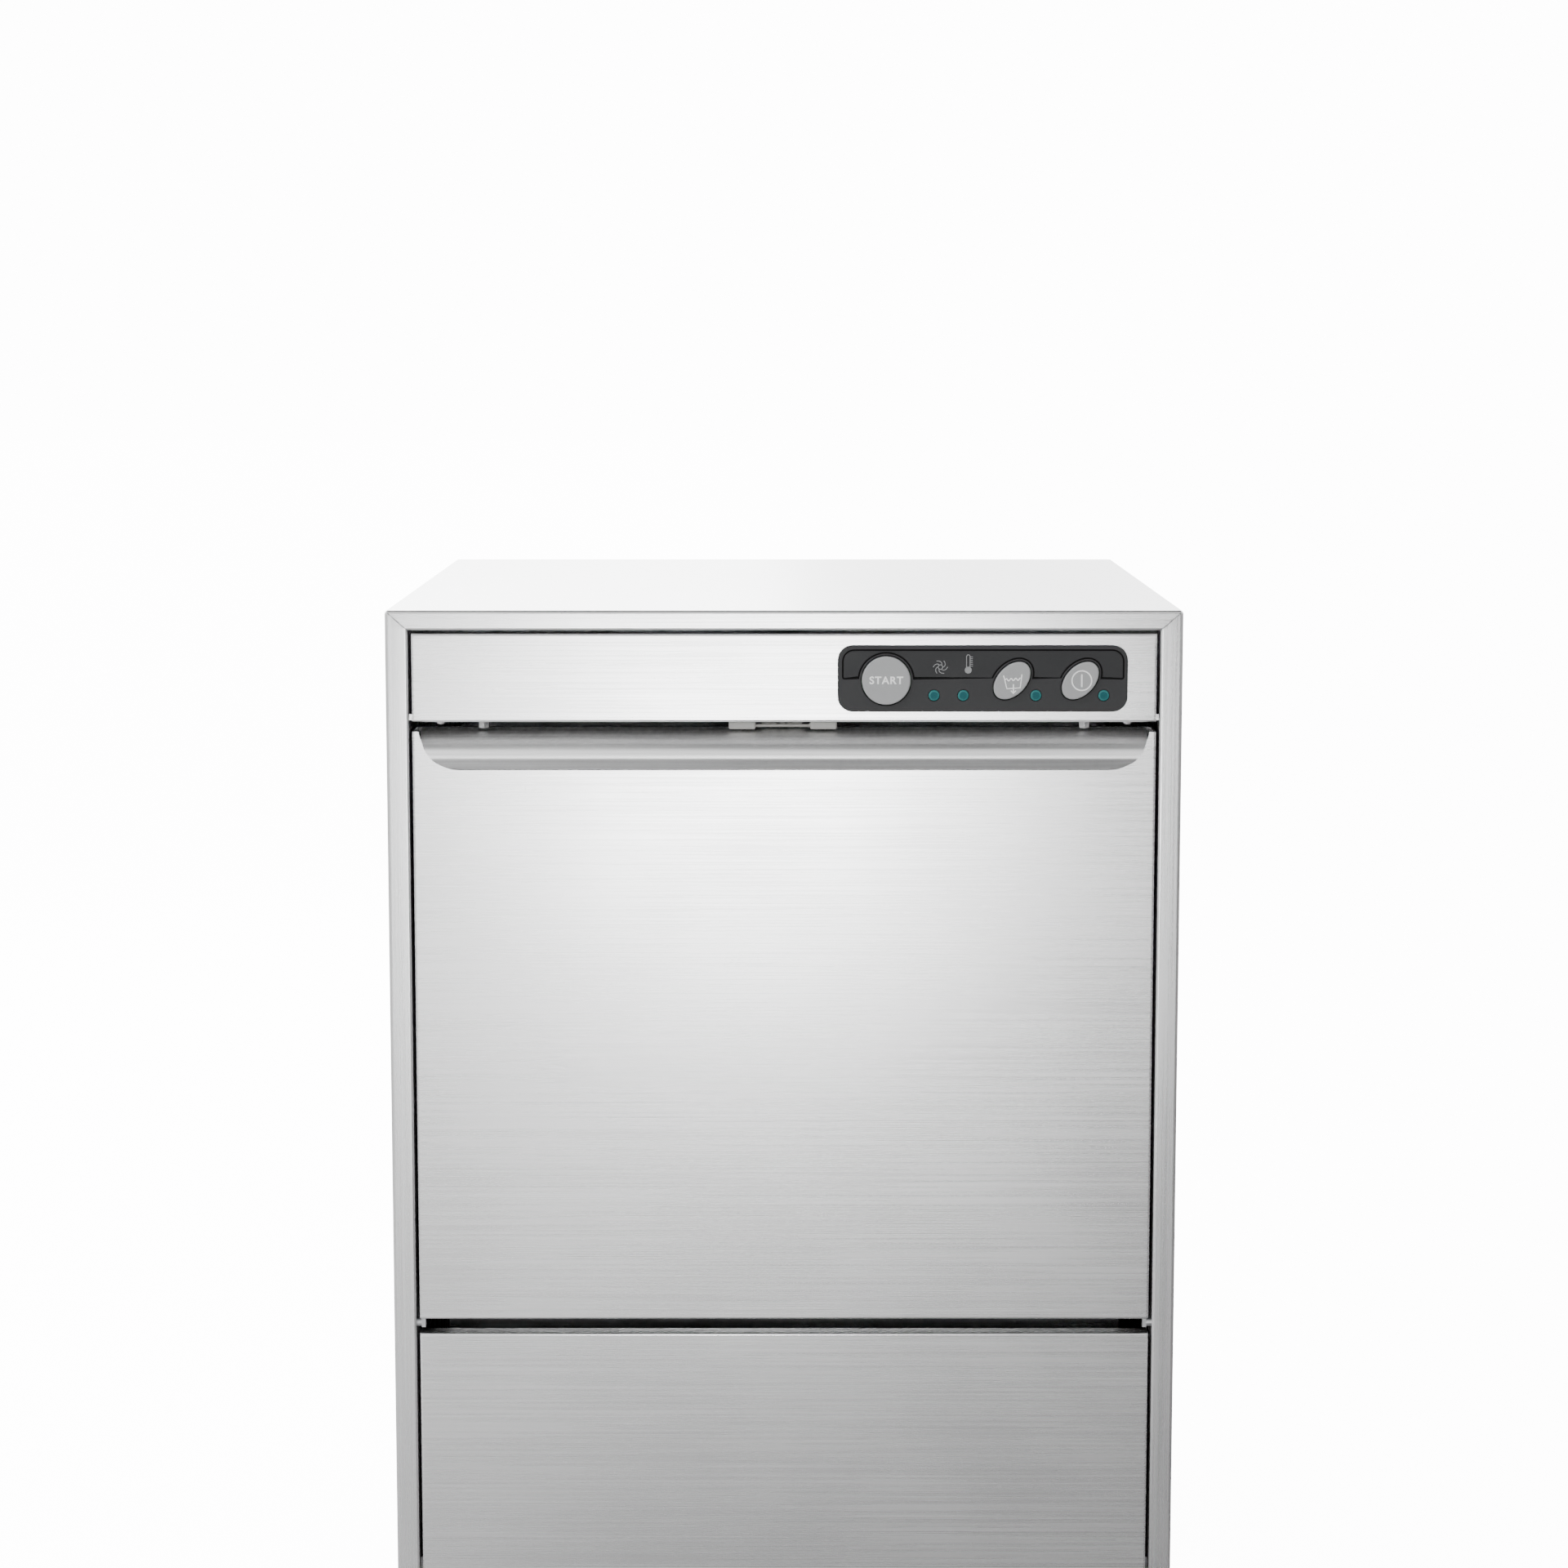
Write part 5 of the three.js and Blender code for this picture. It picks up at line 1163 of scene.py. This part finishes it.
# ---- Feet ----
# Black moulded levelling feet: a wide pad, a waisted collar and a steel stud into the base tray.
STUD = 48
stud_steel = moulded("stud_steel", (0.4, 0.4, 0.41), 0.3, metal=1.0)
for corner in ("front_left", "front_right", "rear_left", "rear_right"):
    name = "foot_" + corner
    low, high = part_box(name)
    pad = (high.x - low.x) / 2 / MM
    tall = (high.z - low.z) / MM
    body = turned_mesh([(0, 0), (pad - 1.2, 0), (pad, 1.2), (pad, 7), (pad - 0.8, 8.4), (pad * 0.7, 15),
                        (pad * 0.61, 21), (pad * 0.6, 24), (pad * 0.6, tall - STUD - 1),
                        (pad * 0.56, tall - STUD), (0, tall - STUD)], 40)
    stud = turned_mesh([(0, tall - STUD - 0.2), (5.9, tall - STUD - 0.2), (5.9, tall - 1), (5, tall),
                        (0, tall)], 24)
    for face in stud.faces:
        face.material_index = 1
    place = ((low.x + high.x) / 2, (low.y + high.y) / 2, low.z)
    foot = make_piece(name.replace("foot_", "levelling_foot_"), moved(join_meshes(body, stud), place),
                      black_plastic, name, "black_plastic", name)
    foot.data.materials.append(stud_steel)

# ---- Rear panel, base tray and what comes through them ----
# Galvanised sheet. The rear panel has pressed cooling louvres and is held by six flanged screws;
# the water inlet, the drain spigot and the cable gland come out through it.
dress(zinc, "rear_panel", "base_tray")
low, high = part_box("rear_panel")
rear_face = low.y + SHEET
LOWEST, LOUVRE_STEP = 520, 22
parts = []
for column in (-1, 1):
    for i in range(8):
        hood = bmesh.new()
        bmesh.ops.create_uvsphere(hood, u_segments=24, v_segments=12, radius=1,
                                  matrix=Matrix.Diagonal((38 * MM, 3.4 * MM, 5.5 * MM, 1)))
        slice_mesh(hood, (0, 0, 0), (0, -1, 0), keep="below")
        slice_mesh(hood, (0, 0, -0.5 * MM), (0, 0, -1), keep="below")
        parts.append(moved(hood, (column * 130 * MM, rear_face - 0.1 * MM, (LOWEST + i * LOUVRE_STEP) * MM)))
louvres = join_meshes(*parts)
bmesh.ops.solidify(louvres, geom=louvres.faces[:], thickness=0.5 * MM)
make_piece("cooling_louvres", louvres, zinc, "cabinet", "galvanised")
parts = []
for x in (-275, 275):
    for z in (90, 440, 790):
        head = turned_mesh([(0, 0), (5, 0), (5, 0.6), (3.6, 1.4), (3.4, 3.4), (2.8, 4.0), (0, 4.1)], 24)
        parts.append(moved(head, (x * MM, rear_face - 0.1 * MM, z * MM),
                           Matrix.Rotation(math.radians(-90), 4, "X")))
make_piece("rear_screws", join_meshes(*parts), screw_steel, "cabinet", "galvanised")

# ---- Works under the chamber ----
# Pump, boiler, hoses, dosers and wiring box keep their plain forms; each gets the finish of what it
# is made of: cast aluminium, moulded plastic, drawn steel, rubber or a lacquered circuit board.
cast = moulded("cast_aluminium", (0.5, 0.5, 0.51), 0.5, metal=0.9, pebble=1400, depth=0.25)
drawn = moulded("drawn_steel", (0.44, 0.44, 0.45), 0.32, metal=1.0, depth=0.05)
board = moulded("circuit_lacquer", (0.02, 0.09, 0.035), 0.35, contrast=0.15, clouds=120)
dress(cast, "wash_pump_motor")
dress(drawn, "pump_rotor", "boiler_heater", "tank_heater", "door_spring_left", "door_spring_right")
dress(black_plastic, "wash_pump_casing", "drain_pump", "terminal_box")
dress(pale_plastic, "wash_manifold", "drain_hose", "inlet_valve", "chemical_dosers")
dress(tub_steel, "boiler")
dress(board, "control_board")
